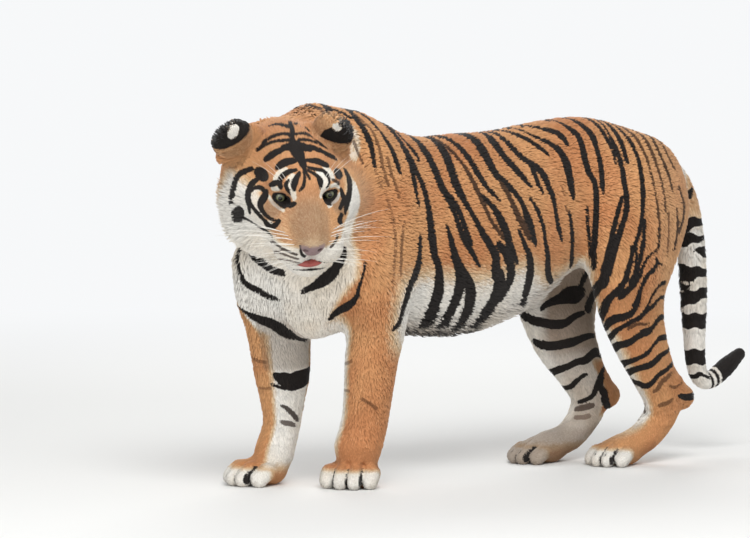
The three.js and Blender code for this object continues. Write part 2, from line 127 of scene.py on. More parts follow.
# middle of the paw on the ground, heading to the left of forward, width, length
PAWS = {
    "forepaw_left": ((74, -188), 44, PAW_WIDE, PAW_LONG),
    "forepaw_right": ((-82, -322), 8, PAW_WIDE, PAW_LONG),
    "hindpaw_left": ((64, 512), 20, HIND_WIDE, PAW_LONG),
    "hindpaw_right": ((-74, 404), 3, HIND_WIDE, PAW_LONG),
}
# the head's own masses; a "pair" stands on both sides of the midline
SKULL = [
    ("ball", (0, 84, 18), (82, 112, 74), (0, 0, 0), 0),
    ("pair", (70, 46, -26), (44, 64, 50), (0, 0, 0), 28),
    ("pair", (70, 92, -56), (60, 64, 74), (0, 0, 0), 32),
    ("pair", (66, 98, -104), (54, 54, 58), (0, 0, 0), 32),
    ("pair", (34, 6, 36), (34, 34, 20), (0, 0, 0), 20),
    ("pair", (42, 0, -42), (41, 54, 42), (0, 0, 0), 30),
    ("tube", 0, 2, 26, [(0, 20, 12, 44, 30), (0, -40, -8, 36, 27),
                        (0, -80, -32, 31, 25), (0, -96, -46, 26, 21)]),
    ("pair", (32, -54, -74), (38, 48, 36), (0, 0, 0), 24),
    ("ball", (0, -54, -112), (38, 42, 26), (0, 0, 0), 14),
    ("tube", 0, 2, 24, [(0, -40, -102, 42, 30), (0, 20, -100, 62, 40),
                        (0, 80, -96, 76, 50)]),
]
# ears: cup's centre in the head's frame and its (turn, nod, tilt)
EARS = {
    "ear_left": ((80, 99, 104), (-36, 16, 31)),
    "ear_right": ((-138, 86, 108), (26, 22, -41)),
}
EAR_CUP, EAR_HOLLOW = (39.0, 21.5, 45.5), (34.0, 22.5, 42.5)
# the lids' radius, the half widths of the almond between them, and of the bare nose
LID_OUTER, LID_OPEN, NOSE_HALF = 20.6, (18.5, 24.0, 10.5), (25.0, 17.0, 21.0)
# how far below the eyes the lips meet, and how they sag to the sides
MOUTH_DOWN, MOUTH_SAG = 97, 0.006


# ---------- distance to the masses ----------
def soft_min(a, b, k):
    """The lesser of two distances, rounded where they meet."""
    if k <= 0:
        return np.minimum(a, b)
    h = np.maximum(k - np.abs(a - b), 0) / k
    return np.minimum(a, b) - h * h * k * 0.25


def soft_max(a, b, k):
    return -soft_min(-a, -b, k)


def ease(lo, hi, v):
    """0 at lo, 1 at hi, with a smooth run between them."""
    t = np.clip((v - lo) / (hi - lo), 0, 1)
    return t * t * (3 - 2 * t)


def unit(v):
    return v / np.maximum(np.linalg.norm(v, axis=-1, keepdims=True), 1e-9)


def frame_of(turn=0.0, nod=0.0, tilt=0.0):
    """Columns are the axes of a frame turned about Z, nodded about X, tilted about Y."""
    t, n, r = map(math.radians, (turn, nod, tilt))
    ct, st, cn, sn, cr, sr = (math.cos(t), math.sin(t), math.cos(n), math.sin(n),
                              math.cos(r), math.sin(r))
    about_z = np.array([[ct, -st, 0], [st, ct, 0], [0, 0, 1]])
    about_x = np.array([[1, 0, 0], [0, cn, -sn], [0, sn, cn]])
    about_y = np.array([[cr, 0, sr], [0, 1, 0], [-sr, 0, cr]])
    return about_z @ about_x @ about_y


HEAD = frame_of(HEAD_TURN, HEAD_NOD, HEAD_TILT)


def to_head(p):
    return (np.asarray(p, float) - EYES) @ HEAD


def from_head(q):
    return np.asarray(q, float) @ HEAD.T + EYES


def beside(q):
    """Points with a mirror in x = 0, all brought to its left side."""
    return np.stack([np.abs(q[..., 0]), q[..., 1], q[..., 2]], -1)


def from_middle(q):
    """How far points of the head's frame are from the middle of the skull."""
    return np.linalg.norm(q - HEAD_MIDDLE, axis=1)


def in_paws(p):
    """For each paw, the points in its own frame, its width and its length."""
    for centre, heading, wide, long in PAWS.values():
        yield (p - (*centre, 0)) @ frame_of(heading), wide, long


def in_ears(q):
    """For each ear, its name, points of the head's frame in its own, and its axes."""
    for name, (centre, angles) in EARS.items():
        axes = frame_of(*angles)
        yield name, (q - centre) @ axes, axes


def oval_distance(q, half):
    k0 = np.sqrt(((q / half) ** 2).sum(-1))
    k1 = np.sqrt(((q / half ** 2) ** 2).sum(-1))
    return k0 * (k0 - 1) / np.maximum(k1, 1e-9)


def ball(centre, half, angles=(0, 0, 0)):
    """A shape is its distance, the middle of its bounding sphere and that sphere's radius."""
    c, h, axes = np.array(centre, float), np.array(half, float), frame_of(*angles)
    return (lambda p: oval_distance((p - c) @ axes, h)), c, h.max()


def smooth_line(rows, steps):
    """Points on a smooth curve through every row, in any number of columns."""
    rows = np.array(rows, float)
    out = []
    for i in range(len(rows) - 1):
        a, b, c, d = (rows[max(i - 1, 0)], rows[i], rows[i + 1],
                      rows[min(i + 2, len(rows) - 1)])
        for j in range(steps):
            t = j / steps
            out.append(0.5 * (2 * b + (c - a) * t + (2 * a - 5 * b + 4 * c - d) * t * t
                              + (3 * b - a - 3 * c + d) * t ** 3))
    out.append(rows[-1])
    return np.array(out)


def tube(stations, turn, steps):
    """A limb with an elliptical section that changes from station to station."""
    nodes = smooth_line(stations, steps)
    side = frame_of(turn)[:, 0]
    c = (nodes[:, :3].min(0) + nodes[:, :3].max(0)) / 2
    reach = (np.linalg.norm(nodes[:, :3] - c, axis=1) + nodes[:, 3:5].max(1)).max()
    parts = []
    for a, b in zip(nodes[:-1], nodes[1:]):
        way = b[:3] - a[:3]
        long = np.linalg.norm(way)
        way = way / long
        across = unit(side - way * (side @ way))
        parts.append((a, b, way, long, across, np.cross(way, across)))

    def distance(p):
        d = np.full(p.shape[:-1], 1e9)
        for a, b, way, long, u, v in parts:
            q = p - a[:3]
            s = q @ way
            t = np.clip(s / long, 0, 1)
            ru, rv = a[3] + (b[3] - a[3]) * t, a[4] + (b[4] - a[4]) * t
            local = np.stack([q @ u, q @ v, s - t * long], -1)
            half = np.stack([ru, rv, np.minimum(ru, rv)], -1)
            d = np.minimum(d, oval_distance(local, half))
        return d
    return distance, c, reach


def shape_of(row):
    """(shape, blend, whether it is a pair) for a row of the tables."""
    if row[0] == "tube":
        return tube(row[4], row[1], row[2]), row[3], False
    return ball(row[1], row[2], row[3]), row[4], row[0] == "pair"


def joined(shapes):
    """The blended distance to shapes; a far one only lends the distance to its sphere."""
    def distance(p):
        flat = p.reshape(-1, 3)
        mirrored = beside(flat)
        d = np.full(len(flat), 1e3)
        for (f, c, reach), k, pair in shapes:
            q = mirrored if pair else flat
            far = np.linalg.norm(q - c, axis=1) - reach
            near = far < max(k, 20) + 10
            d = np.where(near, d, np.minimum(d, far))
            if near.any():
                d[near] = soft_min(d[near], f(q[near]), k)
        return d.reshape(p.shape[:-1])
    return distance


def paw_shapes(centre, heading, wide, long):
    """A pad and four toes, the middle two ahead of the outer two."""
    axes = frame_of(heading)

    def at(side, fore, up):
        return np.array([*centre, 0]) + axes[:, 0] * side - axes[:, 1] * fore + (0, 0, up)
    shapes = [(ball(at(0, -long * 0.15, 26), (wide * 0.42, long * 0.42, 30),
                    (heading, 0, 0)), 0, False)]
    for slot, fore in TOES:
        r, side = wide * 0.152 * (0.94 if abs(slot) > 1 else 1), slot * wide * TOE_PITCH
        stations = [(*at(side - slot * wide * 0.08, long * (fore - 0.45), r * 1.7),
                     r * 0.95, r * 0.95),
                    (*at(side, long * (fore - 0.14), r * 1.8), r * 1.02, r * 1.02),
                    (*at(side, long * (fore + 0.06), r * 0.92), r * 0.95, r * 0.92)]
        shapes.append((tube(stations, heading, 2), 7, False))
    return shapes


# ---------- the face ----------
def nose_leather(q):
    """Distance to the bare nose: broad above, narrow at the lip."""
    spread = 1 + 0.55 * ease(-48, -78, q[..., 2])
    place = np.stack([q[..., 0] * spread, q[..., 1] + 99, q[..., 2] + 53], -1)
    return oval_distance(place, np.array(NOSE_HALF))


def eye_opening(m):
    """Distance to the almond between the lids; it slants and comes to a corner by the nose."""
    eye = m - (EYE_SPREAD, EYE_BACK, EYE_UP)
    tilt = eye[..., 2] - 0.24 * eye[..., 0]
    corner = ease(-4, -24, eye[..., 0])
    place = np.stack([eye[..., 0] + 1.5, eye[..., 1] + 28,
                      tilt * (1 + 1.1 * corner) + 2.0 * corner], -1)
    return oval_distance(place, np.array(LID_OPEN))


def face_detail(q, d):
    """Lids round the eyes, nostrils, lips and the fold between them, in the head's frame."""
    near = q[..., 1] < 45
    if not near.any():
        return d
    out, q, f = d.copy(), q[near], d[near]
    m = beside(q)
    eye = m - (EYE_SPREAD, EYE_BACK, EYE_UP)
    lid = np.linalg.norm(eye, axis=-1) - LID_OUTER
    f = soft_min(f, lid, 9)
    f = soft_max(f, -eye_opening(m), 1.6)
    # the nose leather stands proud, with nostrils that curl outwards
    f = soft_min(f, nose_leather(q), 6)
    nostril = oval_distance(m - (14.5, -113, -57), np.array((6.5, 10.0, 4.2)))
    f = soft_max(f, -nostril, 3)
    # the groove under the nose and the line of the mouth
    groove = np.hypot(q[..., 0], (q[..., 1] + 112) * 0.5) - 2.2
    groove = np.maximum(groove, np.abs(q[..., 2] + 79) - 12)
    f = soft_max(f, -groove, 5)
    sag = MOUTH_SAG * m[..., 0] ** 2 * ease(44, 20, m[..., 0]) + 6 * ease(20, 50, m[..., 0])
    mouth = np.stack([m[..., 0], q[..., 1] + 60, q[..., 2] + MOUTH_DOWN + sag], -1)
    f = soft_max(f, -oval_distance(mouth, np.array((46.0, 52.0, 3.4))), 3)
    out[near] = f
    return out


def above_lips(m):
    """How far above the line where the lips meet."""
    return m[:, 2] + MOUTH_DOWN + MOUTH_SAG * m[:, 0] ** 2


# ---------- the field of the whole beast ----------
LIMBS_AND_TRUNK = TRUNK + NECK + FORELEG_LEFT + FORELEG_RIGHT + HINDLEG_LEFT + HINDLEG_RIGHT
flesh_field = joined([shape_of(row) for row in LIMBS_AND_TRUNK])
paw_fields = [joined(paw_shapes(*row)) for row in PAWS.values()]
tail_field = joined([shape_of(row) for row in TAIL])
skull_field = joined([shape_of(row) for row in SKULL])
socket = ball((49, -22, 14), (20, 17, 15))[0]


def ear_field(q):
    """Both ears: a cup hollowed from the front, on a root that spreads over the skull."""
    d = np.full(q.shape[:-1], 1e3)
    for _, local, _ in in_ears(q):
        hollow = oval_distance(local - (0, 16, 3), np.array(EAR_HOLLOW))
        cup = oval_distance(local, np.array(EAR_CUP))
        root = local - (0, 2, -40)
        flare = 0.26 * np.clip(29 - root[..., 2], 0, 58)
        wide = np.hypot(root[..., 0], root[..., 1] / 0.6) - 34 - flare
        root = soft_max(wide * 0.6, np.abs(root[..., 2]) - 27, 6)
        ear = soft_max(soft_min(cup, root, 14), -hollow, 4)
        d = np.minimum(d, ear)
    return d


def head_field(q):
    """Distance to the head from points of its own frame."""
    d = soft_max(skull_field(q), -socket(beside(q)), 14)
    return face_detail(q, d)


def beast(p):
    """Distance in millimetres from the flesh under the coat, below zero inside."""
    flat = np.asarray(p, float).reshape(-1, 3)
    d = flesh_field(flat)
    low = flat[:, 2] < 160
    for f in paw_fields:
        if low.any():
            d[low] = soft_min(d[low], f(flat[low]), 18)
    d = soft_min(d, tail_field(flat), 25)
    q = to_head(flat)
    near = np.linalg.norm(q - (0, 40, -10), axis=1) < 290
    if near.any():
        d[near] = soft_min(d[near], head_field(q[near]), 45)
        d[near] = soft_min(d[near], ear_field(q[near]), 12)
    return np.maximum(d, -flat[:, 2]).reshape(p.shape[:-1])


def fur_depth(p):
    """How far the coat stands over the flesh."""
    depth = FUR_LEG + (FUR_BODY - FUR_LEG) * ease(260, 380, p[:, 2])
    depth = FUR_PAW + (depth - FUR_PAW) * ease(60, 130, p[:, 2])
    belly = (ease(110, 60, np.abs(p[:, 0])) * ease(-90, -20, p[:, 1])
             * ease(400, 330, p[:, 1]) * ease(420, 340, p[:, 2]) * ease(200, 280, p[:, 2]))
    depth = depth + (FUR_BELLY - depth) * belly
    q = to_head(p)
    near = ease(215, 165, from_middle(q))
    face = FUR_FACE + (FUR_CHEEK - FUR_FACE) * ease(10, 90, q[:, 1])
    depth = depth + (face - depth) * near
    for centre, _ in EARS.values():
        ear = ease(66, 50, np.linalg.norm(q - centre, axis=1))
        depth = depth + (FUR_EAR - depth) * ear
    return depth


def slope(field, p, step=0.8):
    """Unit direction in which a field grows, by four samples."""
    corners = np.array([(1, 1, 1), (1, -1, -1), (-1, 1, -1), (-1, -1, 1)], float)
    total = sum(c * field(p + c * step)[..., None] for c in corners)
    return unit(total)


def settle(points, field, rounds, most):
    """Points moved along the field's slope until they lie on its zero."""
    p = points.copy()
    for _ in range(rounds):
        d = field(p)
        move = np.abs(d) > 0.02
        if not move.any():
            break
        n = slope(field, p[move])
        p[move] -= n * np.clip(d[move], -most, most)[:, None]
    return p


# ---------- the skin ----------
eye_low, eye_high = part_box("eye_left")
SHIFT = ((np.array(eye_low) + np.array(eye_high)) / 2 / MM
         - from_head((EYE_SPREAD, EYE_BACK, EYE_UP)))
VOXEL = 6.0
SKIN_SHARE = 0.3    # how much of the coat's depth the skin is out from the flesh


def to_metres(p):
    """From the design's millimetres to the frame's metres."""
    return (np.asarray(p) + SHIFT) * MM


def positions(mesh):
    co = np.empty(len(mesh.vertices) * 3)
    mesh.vertices.foreach_get("co", co)
    return co.reshape(-1, 3)


def put_positions(mesh, co):
    mesh.vertices.foreach_set("co", np.ascontiguousarray(co).ravel())
    mesh.update()


def linked(name, data):
    """A new object, put into the scene."""
    thing = bpy.data.objects.new(name, data)
    bpy.context.scene.collection.objects.link(thing)
    return thing


def opened(mesh):
    """A mesh as a bmesh that can be changed."""
    bm = bmesh.new()
    bm.from_mesh(mesh)
    bm.verts.ensure_lookup_table()
    return bm


def written(bm, mesh):
    bm.to_mesh(mesh)
    bm.free()
    return mesh


def finished(mesh):
    """The object of a mesh, brought to metres and shaded smooth."""
    put_positions(mesh, to_metres(positions(mesh)))
    mesh.polygons.foreach_set("use_smooth", np.ones(len(mesh.polygons), bool))
    return linked(mesh.name, mesh)


def moved(*place):
    return Matrix.Translation(Vector(place))


def turned(turn=0.0, nod=0.0, tilt=0.0):
    return Matrix(frame_of(turn, nod, tilt).tolist()).to_4x4()


def sized(*half):
    return Matrix.Diagonal((*half, 1))


HEAD_PLACE = moved(*EYES) @ Matrix(HEAD.tolist()).to_4x4()


def add_ball(bm, place):
    """A ball of radius 1 that the matrix stretches, turns and moves."""
    bmesh.ops.create_icosphere(bm, subdivisions=3, radius=1, matrix=place)


def add_mass(bm, row, place, inset):
    """One mass of the tables as ellipsoids, drawn in by the inset."""
    if row[0] == "tube":
        nodes = smooth_line(row[4], row[2] + 1)
        side = frame_of(row[1])[:, 0]
        for a, b in zip(nodes[:-1], nodes[1:]):
            way = b[:3] - a[:3]
            long = np.linalg.norm(way)
            way = way / long
            u = unit(side - way * (side @ way))
            v = np.cross(way, u)
            axes = Matrix(np.stack([u, v, way], 1).tolist()).to_4x4()
            middle = moved(*((a[:3] + b[:3]) / 2))
            ru, rv = (a[3] + b[3]) / 2 - inset, (a[4] + b[4]) / 2 - inset
            add_ball(bm, place @ middle @ axes @ sized(ru, rv, long / 2 + min(ru, rv) * 0.8))
        return
    for side in (1, -1) if row[0] == "pair" else (1,):
        add_ball(bm, place @ sized(side, 1, 1) @ moved(*row[1]) @ turned(*row[3])
                 @ sized(*(r - inset for r in row[2])))


def rough_body():
    """Every mass as closed ellipsoids, with a flat one for the cup of each ear."""
    bm = bmesh.new()
    for row in LIMBS_AND_TRUNK:
        add_mass(bm, row, Matrix.Identity(4), 1)
    for row in TAIL:
        add_mass(bm, row, Matrix.Identity(4), 0)
    for row in SKULL:
        add_mass(bm, row, HEAD_PLACE, 0)
    for centre, heading, wide, long in PAWS.values():
        at = moved(*centre, 24) @ turned(heading)
        add_ball(bm, at @ sized(wide * 0.42, long * 0.44, 23))
        for slot, fore in TOES:
            toe = moved(slot * wide * TOE_PITCH, -fore * long + 6, -2)
            add_ball(bm, at @ toe @ sized(wide * 0.14, long * 0.2, 21))
    for centre, angles in EARS.values():
        at = HEAD_PLACE @ moved(*centre) @ turned(*angles)
        add_ball(bm, at @ moved(0, -9, -4) @ sized(36, 10, 42))
        add_ball(bm, at @ moved(0, 2, -38) @ sized(34, 20, 38))
    return bm


def remeshed(bm):
    """The union of a bmesh's closed shapes as one skin."""
    rough = linked("rough", written(bm, bpy.data.meshes.new("rough")))
    remesh = rough.modifiers.new("union", "REMESH")
    remesh.mode, remesh.voxel_size = "VOXEL", VOXEL
    seen = rough.evaluated_get(bpy.context.evaluated_depsgraph_get())
    mesh = bpy.data.meshes.new_from_object(seen)
    bpy.data.objects.remove(rough)
    return mesh


def toe_clefts(p):
    """How deep the clefts between the toes are cut at each point."""
    cut = np.zeros(len(p))
    for c, wide, long in in_paws(p):
        fore = (ease(0.02 * long, -0.2 * long, c[:, 1]) * (np.abs(c[:, 0]) < wide * 0.7)
                * (c[:, 1] > -long) * ease(62, 46, c[:, 2]))
        for slot in CLEFTS:
            off = c[:, 0] - slot * TOE_PITCH * wide
            cut = np.maximum(cut, 5.5 * fore * np.exp(-(off / 3.4) ** 2))
    return cut


def skin_field(p):
    """The skin lies inside the solids by most of the coat's depth."""
    d = beast(p) - SKIN_SHARE * fur_depth(p)
    low = p[:, 2] < 64
    if low.any():
        d[low] += toe_clefts(p[low])
    return d


def refine(mesh, wanted):
    """Faces of half the size wherever wanted(points) says."""
    flags = wanted(positions(mesh))
    bm = opened(mesh)
    edges = [e for e in bm.edges if flags[e.verts[0].index] and flags[e.verts[1].index]]
    bmesh.ops.subdivide_edges(bm, edges=edges, cuts=1, use_grid_fill=True)
    written(bm, mesh)


def smoothed(mesh, times, flags=None):
    bm = opened(mesh)
    some = bm.verts if flags is None else [v for v in bm.verts if flags[v.index]]
    for _ in range(times):
        bmesh.ops.smooth_vert(bm, verts=list(some), factor=0.5, use_axis_x=True,
                              use_axis_y=True, use_axis_z=True)
    written(bm, mesh)


def settle_mesh(mesh, rounds, most=5.0):
    put_positions(mesh, settle(positions(mesh), skin_field, rounds, most))


def near_eyes(q, reach):
    return np.linalg.norm((np.abs(q[:, 0]) - EYE_SPREAD, q[:, 1] + 16, q[:, 2] - EYE_UP),
                          axis=0) < reach


def near_features(p):
    q = to_head(p)
    side, back, up = beside(q).T
    return near_eyes(q, 36) | ((side < 50) & (back < -46) & (up < -18) & (up > -135))


def near_lids(p):
    q = to_head(p)
    side, back, up = beside(q).T
    return near_eyes(q, 29) | ((side < 27) & (back < -84) & (up < -26) & (up > -92))


def near_ears(p):
    q = to_head(p)
    return np.any([np.linalg.norm(q - centre, axis=1) < 56 for centre, _ in EARS.values()],
                  axis=0)


def near_toes(p):
    fore = np.zeros(len(p), bool)
    for c, wide, long in in_paws(p):
        fore |= ((np.abs(c[:, 0]) < wide * 0.62) & (c[:, 1] < 0.05 * long)
                 & (c[:, 1] > -long) & (c[:, 2] < 62) & (c[:, 2] > 1))
    return fore


def largest_part(mesh):
    """Leaves out any pocket that the union of the masses closed off."""
    bm = opened(mesh)
    parts, left = [], set(bm.verts)
    while left:
        part, edge = set(), [next(iter(left))]
        while edge:
            vert = edge.pop()
            if vert not in part:
                part.add(vert)
                edge += [e.other_vert(vert) for e in vert.link_edges]
        parts.append(part)
        left -= part
    keep = max(parts, key=len)
    bmesh.ops.delete(bm, geom=[v for v in bm.verts if v not in keep], context="VERTS")
    written(bm, mesh)


def build_skin():
    """The rough masses as one skin, settled on the field and refined where it has detail."""
    mesh = remeshed(rough_body())
    settle_mesh(mesh, 4)
    smoothed(mesh, 2)
    # made once more, so that its faces are even again
    mesh = remeshed(opened(mesh))
    largest_part(mesh)
    settle_mesh(mesh, 2)
    smoothed(mesh, 2)
    settle_mesh(mesh, 1)
    for wanted in (lambda p: near_features(p) | near_toes(p) | near_ears(p), near_lids):
        refine(mesh, wanted)
        settle_mesh(mesh, 2)
        smoothed(mesh, 1, wanted(positions(mesh)))
        settle_mesh(mesh, 1)
    return mesh


# ---------- markings ----------
# A stroke is its depth, from 0 to 1, and its points: its place on a chart as two numbers,
# and half the stroke's width. On the flank's chart the place is y and the angle down from
# the back, on a limb's and the chest's it is the angle from forward to the beast's left
# and z, and on the face's it is left and up, in hundredths of a radian about a point
# inside the head.
FLANK = [
    # over the neck
    (1, (-156, 6, 5), (-161, 13, 6), (-167, 21, 6), (-166, 27, 6), (-164, 33, 5),
     (-165, 38, 4), (-164, 44, 3)),
    (0.5, (-164, 44, 3.2), (-161, 50, 3), (-150, 57, 3), (-140, 66, 3),
     (-134, 76, 3), (-131, 86, 3), (-132, 96, 3), (-139, 109, 3), (-145, 120, 2.5)),
    (0.65, (-148, 22, 2.5), (-144, 33, 3), (-145, 40, 3), (-137, 52, 2.5)),
    (1, (-122, 20, 4), (-119, 25, 5), (-111, 30, 5.5), (-106, 36, 5), (-102, 43, 4)),
    (0.6, (-128, 36, 2.5), (-126, 43, 3), (-119, 50, 2.8), (-113, 60, 2.5)),
    (0.7, (-202, 30, 2.8), (-200, 35, 3), (-195, 40, 3), (-189, 43, 2.5)),
    (1, (-240, -20, 4), (-215, -8, 5), (-190, 2, 5), (-175, 12, 4)),
    (0.6, (-104, 78, 1.5), (-110, 88, 2.5), (-117, 102, 3), (-121, 117, 3)),
    (1, (-70, 26, 5), (-66, 38, 4), (-65, 50, 4), (-62, 65, 1.5)),
    (1, (-63, 25, 4), (-53, 40, 5), (-41, 53, 5), (-35, 70, 6), (-27, 93, 8),
     (-18, 107, 6), (-8, 114, 6), (1, 127, 8), (6, 138, 10), (6, 150, 11), (4, 162, 10)),
    (1, (-48, 19, 4), (-38, 27, 5), (-34, 32, 2)),
    (1, (-61, 90, 3), (-62, 103, 5), (-66, 113, 8), (-79, 123, 9), (-99, 132, 8),
     (-117, 140, 6), (-135, 142, 4)),
    (1, (-6, 5, 6), (-4, 20, 8), (1, 38, 7), (8, 50, 7), (20, 60, 5), (32, 72, 4),
     (42, 84, 4.5), (52, 93, 5), (66, 101, 5), (80, 108, 4.5), (95, 116, 3)),
    (1, (12, 52, 4), (31, 60, 5), (46, 72, 4.5), (58, 86, 4.5), (70, 97, 4)),
    (1, (10, 80, 2.5), (20, 93, 5), (31, 107, 7), (46, 117, 9), (61, 123, 8),
     (79, 131, 9), (92, 142, 10), (94, 153, 10), (88, 163, 9)),
    (1, (31, 108, 6), (48, 121, 8), (56, 137, 9), (52, 150, 9), (46, 161, 9)),
    (1, (51, 10, 6), (49, 20, 8), (45, 33, 8), (46, 47, 8), (56, 58, 6), (72, 70, 4.5),
     (87, 80, 5), (102, 90, 6.5), (120, 100, 7), (136, 110, 8), (144, 123, 10),
     (158, 131, 12), (162, 142, 13), (152, 152, 12), (134, 162, 10)),
    (1, (143, 101, 6), (164, 110, 8), (184, 124, 9), (188, 136, 9), (176, 147, 8)),
    (1, (87, 10, 5), (95, 22, 6), (102, 32, 6), (110, 42, 6), (120, 50, 5), (136, 57, 4),
     (151, 64, 2)),
    (0.9, (77, 31, 3), (85, 40, 4), (95, 52, 4.5), (105, 62, 4.5), (115, 72, 3.5),
     (128, 82, 3.5), (144, 90, 3.5), (156, 97, 2.5)),
    (1, (102, 57, 4), (120, 63, 5), (138, 72, 6), (151, 82, 8), (164, 93, 8),
     (174, 105, 7), (187, 113, 6), (203, 123, 2)),
    (1, (143, 5, 9), (147, 15, 9), (146, 28, 9), (154, 42, 7), (174, 50, 6),
     (192, 58, 5.5), (208, 67, 5), (218, 77, 6), (228, 88, 8), (238, 100, 8),
     (251, 113, 3)),
    (0.9, (159, 45, 4), (174, 58, 5), (187, 70, 5), (200, 82, 6), (215, 92, 7),
     (231, 103, 6)),
    (1, (195, 5, 4), (190, 17, 8), (192, 28, 7), (205, 37, 7), (220, 45, 6.5),
     (233, 52, 5), (246, 58, 2)),
    (1, (220, 10, 4), (226, 22, 6), (236, 30, 6), (251, 37, 6), (269, 43, 7),
     (285, 52, 7), (292, 62, 6), (300, 72, 6), (305, 83, 5), (310, 97, 5),
     (318, 110, 5), (331, 123, 3)),
    (1, (256, 38, 5), (261, 50, 5), (268, 60, 4), (276, 68, 2)),
    (1, (246, 5, 4), (261, 13, 6), (277, 20, 6), (292, 27, 5), (303, 32, 4),
     (311, 37, 3)),
    (1, (290, 15, 2), (308, 22, 4), (326, 28, 5), (341, 35, 7), (351, 45, 8),
     (354, 58, 8), (356, 70, 7), (360, 82, 5), (361, 88, 2)),
    (1, (315, 8, 3), (336, 15, 6), (351, 18, 7), (364, 25, 7), (369, 33, 4)),
    (1, (238, 68, 3), (251, 78, 4), (261, 88, 4), (272, 102, 4), (279, 115, 4.5),
     (290, 127, 5.5), (303, 142, 7), (320, 152, 6), (341, 160, 4)),
    (1, (197, 93, 2.5), (210, 102, 4), (220, 110, 5), (231, 117, 6), (241, 127, 8),
     (249, 138, 9), (254, 150, 9), (259, 160, 7)),
    (1, (349, 100, 3), (356, 113, 4), (364, 127, 5), (374, 142, 5), (385, 152, 5),
     (390, 158, 4)),
    (0.6, (336, 90, 2), (343, 97, 2.5)),
    (0.5, (329, 67, 1.5), (336, 80, 1.5)),
    # over the haunch
    (1, (387, 11, 3), (397, 20, 6), (406, 30, 6), (403, 50, 6.5), (408, 65, 5.5),
     (416, 76, 4.5), (415, 100, 5), (414, 121, 5), (415, 136, 5), (419, 145, 5)),
    (1, (397, 100, 2.5), (399, 112, 3), (402, 121, 3), (408, 133, 3), (414, 142, 3)),
    (1, (428, 11, 5), (437, 23, 7), (442, 30, 7), (440, 44, 4.5), (437, 64, 4.5),
     (431, 79, 4), (429, 89, 1.5)),
    (1, (474, 11, 4), (476, 23, 4.5), (475, 36, 4), (474, 50, 3.5), (471, 64, 2)),
    (1, (489, 30, 2), (484, 44, 4), (483, 58, 4), (482, 71, 4.5), (477, 82, 5),
     (475, 94, 5), (473, 106, 5), (462, 117, 5), (451, 126, 6), (439, 136, 8),
     (431, 147, 8)),
    (1, (464, 95, 3), (456, 104, 4), (447, 115, 4), (438, 129, 5), (430, 141, 6)),
    (1, (511, 18, 3), (508, 29, 4.5), (503, 41, 4), (499, 53, 4), (498, 64, 3)),
    (1, (531, 15, 3), (524, 39, 3), (524, 51, 3.5), (526, 62, 4), (525, 73, 4.5), (520, 85, 5),
     (515, 95, 5), (511, 109, 4), (502, 121, 4), (489, 130, 4), (476, 139, 4),
     (464, 145, 3)),
    (0.85, (551, 12, 3), (546, 30, 3.2), (543, 46, 3), (549, 60, 2.6), (551, 76, 2.4),
     (551, 90, 2.4), (556, 104, 2.6), (563, 118, 2.6), (556, 129, 2.4)),
    (0.85, (568, 30, 3), (565, 46, 3.2), (570, 60, 3.2), (575, 72, 3), (577, 87, 2.6),
     (577, 103, 2.4)),
    (0.9, (590, 30, 3), (587, 46, 3.5), (593, 58, 3.5), (602, 68, 3.5), (607, 84, 2.8)),
    (0.8, (610, 34, 2.8), (614, 50, 3.2), (627, 61, 2.8)),
    (0.6, (588, 104, 2.4), (591, 118, 2.6), (592, 130, 2.2)),
    # over the buttock
    (0.9, (633, 76, 2.5), (645, 90, 4), (644, 104, 4), (632, 116, 3)),
    (0.9, (615, 98, 2.5), (624, 112, 4), (618, 128, 3)),
    (1, (576, 136, 1.5), (566, 135, 2), (546, 137, 3), (525, 141, 4), (510, 145, 4),
     (499, 149, 4)),
    (1, (558, 115, 2), (561, 126, 2.5), (546, 129, 2.5), (525, 133, 3), (505, 141, 4),
     (484, 145, 4), (464, 148, 4)),
    (1, (517, 111, 4), (517, 123, 4), (510, 132, 4), (499, 138, 4), (484, 142, 3)),
]
